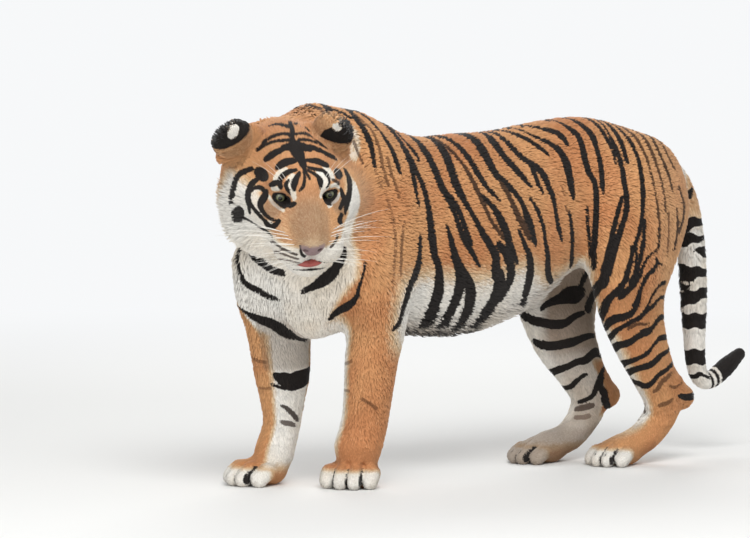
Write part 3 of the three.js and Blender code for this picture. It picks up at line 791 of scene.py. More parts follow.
# the outer face of the left hind leg; the right one's is its mirror
HIND_OUTER = [
    (1, (27, 500, 6), (25, 462, 6), (20, 434, 6), (16, 412, 6), (10, 397, 8),
     (-1, 383, 10), (-9, 378, 11)),
    (1, (49, 481, 2.5), (53, 450, 3), (49, 428, 4), (44, 409, 5), (33, 387, 6),
     (23, 372, 6), (16, 359, 7), (10, 344, 8), (1, 331, 8), (-9, 322, 8)),
    (1, (57, 484, 2.5), (62, 450, 3), (62, 425, 3.5), (57, 403, 3), (42, 384, 3),
     (31, 375, 2)),
    (1, (70, 487, 3.5), (70, 456, 3.5), (66, 425, 3), (60, 400, 2.5)),
    (1, (90, 414, 3), (101, 422, 4), (114, 430, 5), (120, 444, 3), (114, 453, 2)),
    (1, (92, 416, 3), (85, 406, 3), (79, 391, 3.5), (75, 375, 4), (66, 356, 4.5),
     (57, 344, 5), (46, 334, 6), (33, 328, 7), (23, 325, 8), (12, 316, 7), (3, 306, 6),
     (-9, 300, 5)),
    (1, (153, 398, 4), (144, 397, 4), (131, 387, 3), (118, 375, 3), (105, 362, 3),
     (92, 347, 4), (79, 334, 4.5), (64, 325, 4.5), (49, 319, 4), (33, 309, 4),
     (18, 297, 4.5), (5, 284, 5), (-9, 277, 6)),
    (1, (165, 364, 4), (149, 367, 3), (136, 361, 3.5), (123, 353, 4), (110, 347, 4),
     (96, 342, 4), (84, 335, 3)),
    (0.8, (90, 312, 1.5), (75, 311, 2), (62, 312, 2.5), (49, 309, 2.5), (38, 303, 3)),
    (1, (165, 320, 3), (149, 323, 5), (133, 320, 5), (118, 312, 5), (105, 305, 5),
     (92, 298, 6), (79, 294, 7), (64, 291, 7), (53, 286, 6), (40, 278, 6), (27, 270, 7),
     (14, 266, 7), (1, 259, 7), (-9, 255, 7)),
    (1, (160, 277, 4), (146, 278, 5), (131, 278, 5), (118, 277, 4.5), (105, 272, 3.5),
     (92, 266, 3.5), (79, 259, 3.5), (64, 250, 4), (49, 242, 4), (36, 237, 4),
     (23, 231, 5), (5, 225, 6), (-9, 220, 6)),
    (1, (165, 253, 3), (149, 248, 3), (131, 245, 4), (114, 242, 4.5), (101, 239, 5),
     (88, 234, 6), (70, 227, 6), (53, 220, 6), (36, 216, 6), (20, 211, 6), (5, 205, 6),
     (-9, 200, 6)),
    (1, (160, 222, 2), (146, 217, 4), (131, 214, 4), (114, 209, 4), (101, 206, 4),
     (88, 203, 4.5), (75, 200, 4.5), (62, 195, 4.5), (49, 187, 4.5), (36, 178, 5),
     (23, 173, 6), (10, 178, 7), (-9, 184, 7)),
    (0.7, (131, 200, 1.5), (114, 195, 3.5), (101, 191, 4), (88, 187, 4.5),
     (75, 184, 4.5), (62, 177, 4), (49, 167, 4), (36, 161, 3)),
    (0.6, (149, 175, 1.5), (131, 170, 2), (114, 167, 2.5), (101, 169, 2),
     (92, 172, 1.5)),
    (1, (170, 144, 6), (157, 142, 6), (142, 144, 5), (129, 147, 4), (118, 148, 2)),
    (0.6, (90, 141, 2), (79, 136, 4), (66, 133, 4), (53, 131, 4), (42, 128, 3)),
]
# the inner face of the right hind leg; the left one's is its mirror
HIND_INNER = [
    (1, (165, 375, 12), (150, 360, 12), (142, 335, 10)),
    (1, (113, 425, 6), (113, 375, 6)),
    (1, (114, 369, 12), (101, 366, 16), (81, 366, 15), (62, 359, 10), (44, 353, 7),
     (31, 344, 5), (27, 337, 4)),
    (1, (129, 325, 3), (114, 322, 5), (92, 316, 6), (70, 306, 7), (49, 302, 8),
     (27, 305, 8), (12, 312, 8), (1, 322, 8), (-8, 328, 8)),
    (1, (157, 272, 3), (136, 273, 5), (114, 270, 6), (92, 266, 7), (70, 262, 8),
     (49, 259, 8), (27, 255, 8), (12, 256, 8), (2, 262, 8)),
    (1, (157, 231, 8), (140, 236, 8), (120, 231, 8), (101, 225, 8), (83, 220, 7),
     (66, 219, 6), (49, 216, 6), (31, 209, 6), (16, 203, 7), (1, 197, 7), (-13, 192, 7)),
    (1, (70, 189, 2), (57, 187, 3.5), (42, 181, 4), (27, 172, 4.5), (12, 162, 5),
     (-1, 159, 5), (-13, 159, 5)),
    (1, (157, 203, 3), (149, 198, 4), (136, 192, 5), (125, 184, 7), (114, 175, 8),
     (101, 166, 8), (88, 159, 6), (75, 152, 5), (62, 142, 4.5), (49, 136, 4),
     (33, 131, 3.5), (16, 127, 3)),
    (1, (101, 159, 6), (110, 147, 8), (118, 131, 9), (131, 120, 8), (149, 114, 6),
     (168, 109, 6)),
    (0.8, (62, 120, 4), (44, 117, 5), (27, 114, 5), (10, 111, 4)),
    (0.5, (49, 97, 4), (33, 94, 4), (18, 94, 4)),
]
CHEST = [
    (1, (-26, 494, 4), (-19, 474, 9), (-6, 457, 9), (12, 447, 6)),
    (1, (-36, 520, 2.5), (-33, 490, 3), (-30, 460, 3.5), (-29, 440, 4), (-27, 420, 5),
     (-21, 403, 5.5), (-16, 395, 5.5), (-9, 392, 5), (0, 391, 4)),
    (1, (31, 409, 4), (43, 420, 6), (51, 430, 9), (59, 443, 10), (64, 457, 8),
     (69, 480, 6), (70, 500, 4)),
    (1, (61, 353, 4), (69, 367, 6), (77, 380, 7), (81, 397, 4), (82, 420, 2.5),
     (84, 447, 2), (85, 470, 2)),
]
# the inner face of the right foreleg; the left one's is its mirror but for the first
FORE_INNER = [
    (1, (-14, 372, 2), (0, 363, 3), (12, 354, 5), (26, 345, 7), (46, 337, 9),
     (66, 324, 11), (82, 313, 9), (98, 307, 6), (130, 300, 4)),
    (1, (38, 231, 3), (47, 225, 7), (63, 219, 12), (81, 213, 14), (99, 216, 15),
     (122, 219, 15), (140, 222, 14), (158, 228, 12)),
    (1, (31, 210, 2), (47, 204, 2), (63, 201, 3)),
    (0.9, (51, 166, 1.5), (65, 161, 3), (81, 153, 4), (97, 144, 4), (113, 136, 4.5),
     (122, 135, 2)),
    (0.8, (51, 132, 2), (67, 129, 4), (85, 127, 4), (104, 123, 3)),
]
# the outer face of the left foreleg; the right one's is its mirror
FORE_OUTER = [
    (0.5, (42, 186, 2.5), (58, 178, 2.5), (78, 166, 2.5)),
    (0.4, (-26, 256, 2.5), (-10, 257, 2.5), (10, 264, 2)),
    (0.4, (-26, 201, 2), (5, 201, 2)),
]
FACE = [
    # the dark crown and the bands that arch over the brow
    (1, (-8, 228, 3), (-9, 213, 4), (-15, 191, 4), (-18, 178, 6), (-12, 168, 13),
     (-11, 156, 12), (-7, 142, 9), (-3, 126, 5), (1, 116, 3)),
    (1, (-43, 166, 8), (-8, 167, 12), (22, 160, 8)),
    (1, (-82, 214, 3), (-57, 222, 5), (-29, 218, 5), (-15, 211, 4)),
    (1, (8, 220, 4), (30, 217, 4), (48, 208, 3)),
    (1, (-110, 163, 3), (-93, 179, 4), (-67, 192, 5), (-35, 197, 5), (-20, 192, 4)),
    (1, (-121, 153, 4), (-104, 165, 4), (-76, 177, 4), (-50, 181, 4), (-26, 182, 4)),
    (1, (-7, 194, 4), (17, 195, 4), (38, 189, 5), (60, 182, 5), (76, 173, 4)),
    (1, (3, 181, 4), (25, 179, 4), (45, 173, 4), (74, 167, 4), (89, 162, 4)),
    (1, (30, 164, 6), (49, 155, 6), (72, 147, 6), (100, 138, 6), (118, 132, 5)),
    (1, (-43, 164, 6), (-65, 157, 8), (-84, 149, 9), (-100, 141, 6)),
    (1, (59, 121, 7), (48, 127, 8), (35, 132, 7), (20, 134, 5), (9, 136, 3)),
    (1, (-21, 136, 5), (-36, 135, 8), (-50, 132, 9), (-60, 127, 9), (-67, 122, 5)),
    (1, (44, 73, 1.5), (50, 80, 1.5), (51, 90, 3), (50, 99, 4), (45, 108, 4),
     (35, 112, 4), (22, 116, 3.5), (9, 120, 2.5)),
    (1, (-21, 116, 3), (-34, 113, 5), (-45, 108, 6), (-54, 99, 6), (-58, 88, 5),
     (-56, 77, 4)),
    (1, (9, 113, 2.5), (20, 106, 3), (28, 97, 4), (31, 86, 5), (29, 75, 2)),
    (1, (-13, 110, 3), (-21, 99, 5), (-27, 86, 6), (-28, 75, 3)),
    (1, (3, 135, 3), (3, 110, 2), (7, 101, 2), (9, 95, 1.5)),
    (1, (-4, 135, 3), (-2, 112, 2), (-3, 97, 2.5), (-8, 82, 3), (-17, 73, 1.5)),
    (1, (-39, 93, 2), (-44, 84, 3.5), (-42, 73, 3), (-39, 66, 2)),
    # round the right eye
    (1, (-65, 86, 4), (-71, 84, 6), (-86, 80, 3)),
    (1, (-97, 97, 5), (-115, 103, 11), (-130, 108, 9)),
    (1, (-27, 47, 3), (-33, 45, 5), (-42, 42, 6)),
    (1, (-104, 64, 4), (-117, 71, 4), (-132, 64, 4), (-139, 47, 4), (-134, 30, 4),
     (-121, 19, 4), (-106, 10, 4), (-91, 1, 4), (-76, -7, 5)),
    (1, (-100, 64, 6), (-104, 47, 8), (-106, 32, 6), (-97, 19, 4), (-82, 10, 3),
     (-67, 8, 2.5)),
    (1, (-134, 84, 6), (-143, 69, 7), (-145, 51, 7), (-143, 34, 6), (-134, 19, 6),
     (-130, 3, 4)),
    (1, (-154, -10, 10), (-158, -25, 12), (-160, -36, 8)),
    (1, (-154, -21, 5), (-139, -25, 3), (-121, -25, 2), (-103, -24, 3), (-84, -23, 3),
     (-67, -23, 2)),
    (1, (-147, 106, 5), (-160, 93, 6), (-173, 76, 7), (-180, 58, 8), (-182, 40, 9),
     (-180, 20, 8), (-175, 0, 5)),
    (1, (-60, 8, 4), (-67, -3, 5), (-80, -10, 4), (-89, -5, 2)),
    # round the left eye
    (1, (118, 97, 8), (100, 97, 11), (83, 93, 8), (74, 90, 4)),
    (1, (147, 92, 5), (146, 80, 7), (141, 66, 8), (124, 49, 6), (104, 30, 4)),
    (1, (117, 43, 6), (105, 32, 7), (91, 16, 5), (85, 5, 2)),
    (1, (98, 58, 5), (96, 38, 5), (85, 27, 4), (76, 21, 3)),
    (0.9, (90, 75, 3), (76, 77, 3), (61, 84, 3)),
    (1, (74, 8, 5), (66, -1, 6), (70, -7, 3)),
    # rows where the whiskers grow, and the lines from the nostrils
    (0.9, (46, -14, 2), (35, -17, 2), (26, -20, 2)),
    (0.9, (-21, -26, 2), (-36, -23, 2), (-54, -25, 2), (-65, -33, 2), (-71, -44, 2)),
    (0.8, (-19, -33, 1.8), (-32, -29, 1.8), (-47, -31, 1.8), (-56, -42, 1.8)),
    (0.7, (-17, -42, 1.6), (-30, -36, 1.6), (-41, -40, 1.6), (-47, -49, 1.6)),
    (1, (-17, -12, 2), (-15, -23, 2.5), (-10, -31, 2.5)),
]
FACE_PALE = [
    (1, (31, 108, 4), (41, 97, 8), (42, 86, 8), (40, 73, 7), (31, 58, 3)),
    (1, (55, 116, 6), (59, 103, 7), (59, 90, 6)),
    (1, (-30, 101, 6), (-35, 88, 8), (-34, 73, 7), (-30, 58, 4)),
    (1, (-47, 116, 5), (-58, 108, 8), (-65, 97, 8)),
    (1, (-65, 73, 5), (-76, 74, 5)),
    (1, (-92, 56, 2.5), (-84, 43, 2.5), (-71, 34, 2.5), (-54, 30, 2.5)),
    (1, (-156, 38, 6), (-158, 21, 6), (-152, 3, 6)),
    (1, (-76, -1, 5), (-80, -1, 4)),
    (0.8, (-106, 10, 6), (-100, 4, 5)),
    (1, (89, 52, 2.5), (80, 40, 2.5), (65, 35, 2.5), (48, 34, 3.5)),
    (1, (87, 69, 4), (72, 73, 4), (57, 73, 4)),
    (0.8, (-118, 66, 3), (-130, 50, 5), (-122, 28, 5)),
]
FLANK_PALE = [
    (0.6, (-194, 20, 7), (-202, 29, 11), (-213, 37, 8)),
]
SEED = 11
MARK_SHARE = 0.6    # how much of the coat's depth the markings' surface is out from the flesh
CHEST_AXIS = -200   # y of the upright axis about which the chest is laid out
FACE_CENTRE = (0.0, 40.0, -30.0)    # about which the face is laid out
FLANK_WANDER, LIMB_WANDER = 2, 1.5  # how far mirrored strokes stray, on their charts
REACH = 9.0         # how far from a mark's edge its distance is still worked out


def coat_surface(p):
    """The surface within the coat on which markings are laid out."""
    return beast(p) - MARK_SHARE * fur_depth(p)


def cast(origin, way, start):
    """Where rays from inside the beast come out through its surface of markings."""
    t = np.full(len(origin), float(start))
    for _ in range(26):
        t = np.clip(t + np.clip(-coat_surface(origin + way * t[:, None]) * 0.9, -8, 30),
                    0, 420)
    return origin + way * t[:, None]


def flank_chart(y, angle):
    stations = np.array([(0, -330, 650), (0, -262, 632)] + [s[:3] for s in TRUNK[0][4]], float)
    a = np.radians(angle)
    origin = np.stack([0 * y, y, np.interp(y, stations[:, 1], stations[:, 2])], -1)
    return cast(origin, np.stack([np.sin(a), 0 * y, np.cos(a)], -1), 60)


def cast_level(origin, angle, start):
    a = np.radians(angle)
    return cast(origin, np.stack([np.sin(a), -np.cos(a), 0 * a], -1), start)


def middle_at(nodes, z):
    """x and y of a limb's middle line at each height; its nodes rise."""
    return (np.interp(z, nodes[:, 2], nodes[:, i]) for i in (0, 1))


def limb_chart(stations):
    nodes = smooth_line(stations, 6)[::-1]

    def chart(angle, z):
        x, y = middle_at(nodes, z)
        return cast_level(np.stack([x, y, z], -1), angle, 15)
    return chart


def chest_chart(angle, z):
    return cast_level(np.stack([0 * z, CHEST_AXIS + 0 * z, z], -1), angle, 20)


def face_chart(u, v):
    a, b = np.hypot(u, v) / 100, np.arctan2(v, u)
    way = np.stack([np.sin(a) * np.cos(b), -np.cos(a), np.sin(a) * np.sin(b)], -1)
    origin = from_head(np.tile(FACE_CENTRE, (len(u), 1)))
    return cast(origin, way @ HEAD.T, 20)


def laid_out(chart, strokes, mirror=False, wander=0.0, rng=None):
    """Strokes as (depth, points, half widths) on the beast; mirrored ones wander a little."""
    out, rows = [], []
    for depth, *points in strokes:
        line = smooth_line(points, 5)
        if wander:
            shift = smooth_line(rng.normal(0, wander, (len(points), 2)), 5)
            line[:, :2] += shift * (1, 0.5)
            line[:, 2] *= rng.uniform(0.8, 1.15)
        if mirror:
            line[:, 1 if chart is flank_chart else 0] *= -1
        rows.append((depth, line))
    places = chart(np.concatenate([r[1][:, 0] for r in rows]),
                   np.concatenate([r[1][:, 1] for r in rows]))
    at = 0
    for depth, line in rows:
        wide = line[:, 2] * (1.1 if chart is face_chart else 1.25) + 0.6
        out.append((depth, places[at:at + len(line)], np.maximum(wide, 0)))
        at += len(line)
    return out


def over_the_back(strokes):
    """Flank strokes that start high up run on over the ridge of the back."""
    out = []
    for depth, *points in strokes:
        (y, angle, half), after = points[0], points[1]
        if angle <= 31:
            slope = max(-1.3, min(1.3, (y - after[0]) / (angle - after[1])))
            steps = [a for a in (-4, angle * 0.3, angle * 0.65) if a < angle - 3]
            points = [(y + slope * (a - angle), a, max(half, 2.5)) for a in steps] + points
        out.append((depth, *points))
    return out


def off_the_front(strokes, least):
    """Limb strokes without their ends that wrap round the front of the leg."""
    out = []
    for depth, *points in strokes:
        kept = [p for p in points if p[0] >= least]
        if len(kept) > 1:
            out.append((depth, *kept))
    return out


def all_strokes():
    """(black strokes, pale strokes) over the whole beast."""
    rng = np.random.default_rng(SEED)
    hind = {side: limb_chart(table[0][4][:6]) for side, table in
            ((1, HINDLEG_LEFT), (-1, HINDLEG_RIGHT))}
    fore_left, fore_right = limb_chart(FORELEG_LEFT[0][4]), limb_chart(FORELEG_RIGHT[0][4])
    flank = over_the_back(FLANK)
    ink = laid_out(flank_chart, flank) + laid_out(flank_chart, flank, True, FLANK_WANDER, rng)
    ink += laid_out(hind[1], HIND_OUTER) + laid_out(hind[-1], HIND_INNER)
    ink += laid_out(hind[-1], off_the_front(HIND_OUTER, 22), True, LIMB_WANDER, rng)
    ink += laid_out(hind[1], off_the_front(HIND_INNER, 22), True, LIMB_WANDER, rng)
    ink += laid_out(fore_right, FORE_INNER) + laid_out(fore_left, FORE_OUTER)
    ink += laid_out(fore_right, FORE_OUTER, True, LIMB_WANDER, rng)
    ink += laid_out(fore_left, off_the_front(FORE_INNER[1:], 30), True, LIMB_WANDER, rng)
    ink += laid_out(chest_chart, CHEST)
    ink += laid_out(face_chart, FACE)
    pale = laid_out(face_chart, FACE_PALE) + laid_out(flank_chart, FLANK_PALE)
    return ink, pale


def stroke_value(p, strokes):
    """How far each point lies inside the nearest stroke's edge, and that stroke's depth."""
    value, depth = np.full(len(p), -REACH), np.ones(len(p))
    for strength, line, half in strokes:
        middle = (line.min(0) + line.max(0)) / 2
        radius = np.linalg.norm(line - middle, axis=1).max() + half.max() + REACH
        near = np.flatnonzero(((p - middle) ** 2).sum(1) < radius ** 2)
        if not len(near):
            continue
        best = np.full(len(near), -REACH)
        for a, b, ra, rb in zip(line[:-1], line[1:], half[:-1], half[1:]):
            way = b - a
            q = p[near] - a
            t = np.clip(q @ way / max(way @ way, 1e-6), 0, 1)
            gap = np.sqrt(((q - t[:, None] * way) ** 2).sum(1))
            best = np.maximum(best, ra + (rb - ra) * t - gap)
        better = best > value[near]
        value[near[better]] = best[better]
        depth[near[better]] = strength
    return value, depth


def inked(ink, where, value):
    """Adds a mark, where it may be, to those that are there."""
    return np.maximum(ink, np.where(where, value, -REACH))


# height and half thickness of each ring on the side towards the beast, then on the other
TAIL_RINGS = [(566, 5, 600, 16), (512, 20, 522, 8), (482, 18, 484, 6), (455, -14, 455, 13),
              (405, 20, 409, 9), (376, 8, 380, -9), (347, 17, 362, 12), (300, 17, 300, 17),
              (219, 17, 219, 17), (180, 5, 177, 6)]


def markings(p):
    """What colours the coat at each point: ink (mm inside a black mark), its depth, and the
    shares of pale (0 orange to 1 white), tawny (a duller tan), painted shade (a grey brown)
    and bare leather."""
    ink, depth = stroke_value(p, INK_STROKES)
    white, strength = stroke_value(p, PALE_STROKES)
    q = to_head(p)
    m = beside(q)
    side, back, up = m.T
    head = ease(190, 140, from_middle(q))
    x, y, z = p.T

    # trunk: pale from the lower flank to the belly, and down the chest
    stations = np.array([s[:3] for s in TRUNK[0][4]], float)
    angle = np.degrees(np.arctan2(np.abs(x), z - np.interp(y, stations[:, 1], stations[:, 2])))
    edge = 126 + 4 * ease(0, 100, y) + 29 * ease(220, 340, y)
    pale = ease(edge - 22, edge + 16, angle) * ease(-170, -90, y) * ease(240, 330, z)
    pale = pale * (1 - ease(400, 440, y) * ease(50, 90, np.abs(x)))
    front = np.degrees(np.arctan2(x, -(y - CHEST_AXIS)))
    side_on = np.clip(60 + 0.23 * (z - 353), 54, 80) - 0.1 * np.clip(z - 470, 0, 90)
    chest = (ease(-78, -54, front) * ease(6, -6, front - side_on) * ease(-175, -205, y)
             * ease(285, 315, z - 76 * ease(-22, -38, front)) * ease(640, 570, z)
             * (1 - ease(500, 560, z) * ease(50, 66, front)))
    pale = np.maximum(pale, 0.95 * chest)

    # legs: pale inside, and on the toes
    inner = np.zeros(len(p))
    for table, sign, high in ((FORELEG_RIGHT, 1, 380), (FORELEG_LEFT, -1, 400),
                              (HINDLEG_RIGHT, 1, 430), (HINDLEG_LEFT, -1, 430)):
        nodes = smooth_line(table[0][4], 4)[::-1]
        cx, cy = middle_at(nodes, z)
        on = ((np.hypot(x - cx, y - cy) < 125) & (z < high + 60) & (x * -sign > -8)
              & ((y < 120) == (table in (FORELEG_RIGHT, FORELEG_LEFT))))
        around = np.degrees(np.arctan2(x - cx, -(y - cy))) * sign
        if table is FORELEG_RIGHT:
            share = ease(18, 48, around) * ease(165, 140, around)
        elif table is FORELEG_LEFT:
            share = ease(-12, 20, around) * ease(170, 140, around) * 0.9
        elif table is HINDLEG_RIGHT:
            share = (ease(-48, -12, around) * ease(178, 150, around)
                     * (1 - ease(235, 205, z) * ease(104, 124, around) * ease(85, 110, z)))
        else:
            share = (ease(-32, 2, around - 16 * ease(280, 330, z))
                     * ease(175, 130, around))
        share = share * (ease(15, 60, z) if sign > 0 else ease(40, 110, z))
        inner = np.maximum(inner, np.where(on, share * ease(high + 60, high, z), 0))
    pale = np.maximum(pale, inner)
    for c, wide, long in in_paws(p):
        toes = ((np.abs(c[:, 0]) < wide * 0.6) & (c[:, 1] < long * 0.1) & (c[:, 1] > -long))
        pale = np.maximum(pale, np.where(toes, 0.9 * ease(46, 30, z)
                                         * ease(long * 0.05, -long * 0.2, c[:, 1]), 0))
        # painted shade in the clefts between the toes, and a dark mark over the two middle claws
        for slot in CLEFTS:
            cleft_shade = 2.6 - np.abs(c[:, 0] - slot * TOE_PITCH * wide)
            ink = inked(ink, toes & (z < 44) & (c[:, 1] < -long * 0.16), cleft_shade)
        for slot in (-0.5, 0.5):
            claw = 2.2 - np.linalg.norm((c - (slot * TOE_PITCH * wide, -0.46 * long, 27))
                                        / (0.8, 3.0, 2.0), axis=1)
            ink = inked(ink, toes, claw)

    # tail: pale all round but for its root and the upper face, ringed, with a black tip
    on_tail = ease(712, 724, y) * ease(672, 645, z)
    nodes = smooth_line(TAIL[0][4], 3)[::-1]
    nodes = nodes[nodes[:, 2].argmin():]
    middle = np.where(z > 500, 775 - (z - 500) * 0.09, np.interp(z, nodes[:, 2], nodes[:, 1]))
    across = np.clip((0.574 * x + 0.819 * (y - middle)) / 24, -1, 1)
    upper = ease(480, 560, z) * ease(-0.5, 0.1, across)
    pale = np.where(on_tail > 0, np.maximum(pale, on_tail * (1 - 0.8 * upper)), pale)
    tail = (on_tail > 0.5) & (y > 728)
    share = (across + 1) / 2
    for near, thick, far, thin in TAIL_RINGS:
        ring = thick + (thin - thick) * share - np.abs(
            z - near - (far - near) * share + 2.5 * np.sin(across * 5 + near)
            + (8 * across ** 2 if near == 180 else 0))
        ring = ring - (20 * ease(0.3, 0.6, across) if near > 550 else 0)
        ink = inked(ink, tail & (y < 822), ring)
    bend = tail & (z < 262) & (y > 815)
    along = y + 0.3 * (z - 165)
    for start, half in ((829, 4.0), (846, 4.5)):
        ink = inked(ink, bend, half - np.abs(along - start))
    ink = inked(ink, bend, along - 858)

    # head: white cheeks, muzzle and chin, and all pale strokes, over a slightly duller tan
    cheek = (ease(78, 94, side + 32 * ease(-25, -65, up)) * ease(38, -6, up)
             * ease(-62, -20, back))
    cheek = cheek * np.where(q[:, 0] > 0,
                             ease(58, 44, back - 0.15 * up + 0.45 * (side - 110)), 1)
    muzzle = ease(-46, -60, up) * ease(30, -20, back)
    chin = ease(-86, -98, up) * np.where(q[:, 0] > 0, ease(122, 110, side + 0.3 * back), 1)
    whites = np.maximum.reduce([cheek, muzzle * 0.92, chin * 0.95])
    pale = pale * (1 - head) + np.maximum(whites, pale * 0.2) * head
    pale = np.maximum(pale, ease(-2, 1.5, white) * strength)
    tawny = 0.2 * head
    # painted shade in a grey brown over the muzzle, under the eyes, inside the legs and under the
    # belly
    painted_shade = 0.6 * ease(46, 16, side) * ease(-16, -64, back) * ease(-60, -44, up)
    painted_shade = np.maximum(painted_shade, 0.6 * ease(1.25, 0.6, np.linalg.norm(
        (side - 68, back + 22, up + 8), axis=0) / 22))
    painted_shade = painted_shade * head
    # painted shade inside the thighs, deeper on the right one, lighter low down and at the heel
    for sign, level in ((-1, 0.85), (1, 0.25)):
        thigh = (ease(395, 430, y) * ease(500, 430, z) * ease(-6, 22, -sign * (x - 78 * sign))
                 * (x * sign > -20) * ease(700, 680, y))
        heel = ease(552, 572, y) * ease(240, 215, z)
        painted_shade = np.maximum(painted_shade, level * thigh * (1 - 0.4 * ease(260, 215, z)) * (1 - 0.7 * heel))
    # painted shade over the right hind foot and inside the right foreleg
    far_foot = (x < 0) & (y > 250) & (y < 690)
    painted_shade = np.maximum(painted_shade, np.where((inner > 0) & (x < 0) & (y < 120), 0.45
                                     * ease(232, 246, z) * ease(372, 330, z), 0))
    painted_shade = np.maximum(painted_shade, np.where(far_foot, 0.7 * ease(110, 60, z), 0))
    # painted shade under the belly, low on its sides
    under = ease(-110, -60, y) * ease(420, 360, y) * (z > 300)
    painted_shade = np.maximum(painted_shade, 0.3 * ease(145, 165, angle) * under)
    # painted shade along the belly's lowest line, mixed with the dark ends of the stripes
    lowest = under * ease(230, 150, y)
    ink = inked(ink, lowest > 0, 2.6 * ease(152, 172, angle) * lowest - 2.1)
    tawny = np.maximum(tawny, 0.3 * ease(520, 590, y) * ease(300, 420, z))

    # black rims round the eyes, run out into the inner corners
    by_eye = ((np.linalg.norm(m - (EYE_SPREAD, EYE_BACK - 8, EYE_UP), axis=1) < 34)
              & (back < 20))
    rim = 4.6 - eye_opening(m)
    corner = 8.0 - np.hypot(side - 24, (up + 1) * 1.1 + 0.35 * (side - 24))
    ink = inked(ink, by_eye, np.maximum(rim, corner))

    # ears: black behind with a white spot, pale hair within
    for name, local, _ in in_ears(q):
        near = np.linalg.norm(local / (46, 34, 52), axis=1) < 1.12
        behind = near & (local[:, 1] < 2)
        if name == "ear_left":
            dark = np.minimum(local[:, 0] + 17 - 0.45 * np.maximum(local[:, 2], 0),
                              local[:, 2] + 15 - 0.3 * local[:, 0])
            spot = 1 - np.hypot((local[:, 0] - 1) / 10, (local[:, 2] - 27) / 8)
        else:
            dark = local[:, 2] + 0.28 * local[:, 0]
            spot = 1 - np.hypot((local[:, 0] - 12) / 15, (local[:, 2] - 29) / 11)
        dark = np.clip(dark, -REACH, REACH)
        ink = np.where(behind, np.where(spot > 0, -REACH, dark), ink)
        pale = np.where(behind, np.where(spot > 0, 1, 0.15), pale)
        inside = near & (local[:, 1] >= 2) & (local[:, 2] > -30)
        pale = np.where(inside, 0.8 * ease(5, 12, local[:, 1]), pale)
        ink = np.where(inside, np.where(local[:, 1] < 8, dark, -REACH), ink)
    bare = ease(5.0, 3.2, nose_leather(q)) * ease(-74, -82, back)
    # the dark lines of the lips, over the tongue and under it
    lip = above_lips(m)
    mouth = (side < 44) & (back < -48) & (up > -125)
    ink = inked(ink, mouth, 2.4 - np.abs(lip - 4.5) - 0.05 * side)
    ink = inked(ink, mouth & (side < 34), 3.0 - np.abs(lip + 12) - 0.07 * side)
    return {"ink": ink, "depth": depth, "pale": pale, "tawny": tawny, "bare": bare,
            "painted_shade": painted_shade}


def markings_at(p, n, height=0.0):
    """The markings of points of the skin, or of points that stand some height over it."""
    rise = (MARK_SHARE - SKIN_SHARE) * fur_depth(p) - height
    return markings(p + n * rise[:, None])


INK_STROKES, PALE_STROKES = all_strokes()


# ---------- the coat ----------
COAT_FINENESS = 1.0
TUFTS_A_PIECE = 19500
CANDIDATES = 900000     # random places, of which each cell keeps one as a root
RUFF_RISE = 18          # how much further the longest hair of the ruff stands out
TUFT_POINTS = 7         # three at the root, three at the middle and the tip
# cell between roots, length, width over length
REGIONS = {
    "body": (4.7, 16.0, 0.26), "neck": (4.7, 18.0, 0.25),
    "leg": (4.2, 12.0, 0.3), "foot": (3.2, 6.5, 0.38),
    "face": (2.5, 5.5, 0.36), "cheek": (3.8, 17.0, 0.22),
    "ear": (2.8, 9.0, 0.28), "tail": (3.8, 14.0, 0.25),
}


REGION_TABLE = np.array(list(REGIONS.values()))


def region_index(names):
    return np.array([list(REGIONS).index(name) for name in names])


def lie_of(p, n):
    """The way the hair runs at each point: rearwards, down the legs, out along the tail."""
    x, y, z = p.T
    way = np.stack([0 * x, 0 * x + 1.0, 0 * x - 0.22], -1)
    way += ease(90, 150, np.abs(x))[:, None] * (0, 0, -0.15)
    front = ease(-150, -235, y)[:, None]
    way += front * (0, -0.75, -0.9)
    haunch = (ease(380, 520, y) * ease(640, 480, z))[:, None]
    way += haunch * (0, -0.45, -0.6)
    legs = ((np.abs(x) > 28) & ((y < -60) | (y > 430)) & (z < 470))
    down = (ease(470, 400, z) * legs)[:, None]
    way = way * (1 - down) + down * (0, 0.12, -1.0)
    toes = (ease(75, 45, z) * legs)[:, None]
    for centre, heading, *_ in PAWS.values():
        ahead = -frame_of(heading)[:, 1]
        near = (np.hypot(x - centre[0], y - centre[1]) < 95)[:, None] * toes
        way = way * (1 - near) + near * (ahead + (0, 0, -0.35))
    # along the tail
    nodes = smooth_line(TAIL[0][4], 3)[:, :3]
    tail = (y > 700) & (np.abs(x) < 60)
    if tail.any():
        nearest = ((p[tail][:, None] - nodes[None]) ** 2).sum(-1).argmin(1)
        way[tail] = np.gradient(nodes, axis=0)[nearest]
    # the head's hair runs away from the nose
    q = to_head(p)
    head = ease(205, 165, from_middle(q))[:, None]
    out = unit(q - (0, -118, -40))
    out = out + ease(-30, 40, q[:, 1])[:, None] * (0, 0.5, 0)
    jowl = ease(10, -60, q[:, 2])[:, None] * ease(-10, 40, q[:, 1])[:, None]
    out = out + jowl * (0, 0.1, -0.5)
    way = way * (1 - head) + (unit(out) @ HEAD.T) * head
    for _, local, axes in in_ears(q):
        near = (np.linalg.norm(local / (46, 34, 56), axis=1) < 1.1)[:, None]
        outward = np.stack([local[:, 0] * 0.012, 0 * x, 0 * x + 1], -1)
        way = np.where(near, unit(outward) @ axes.T @ HEAD.T, way)
    return unit(way - n * (way * n).sum(1, keepdims=True))


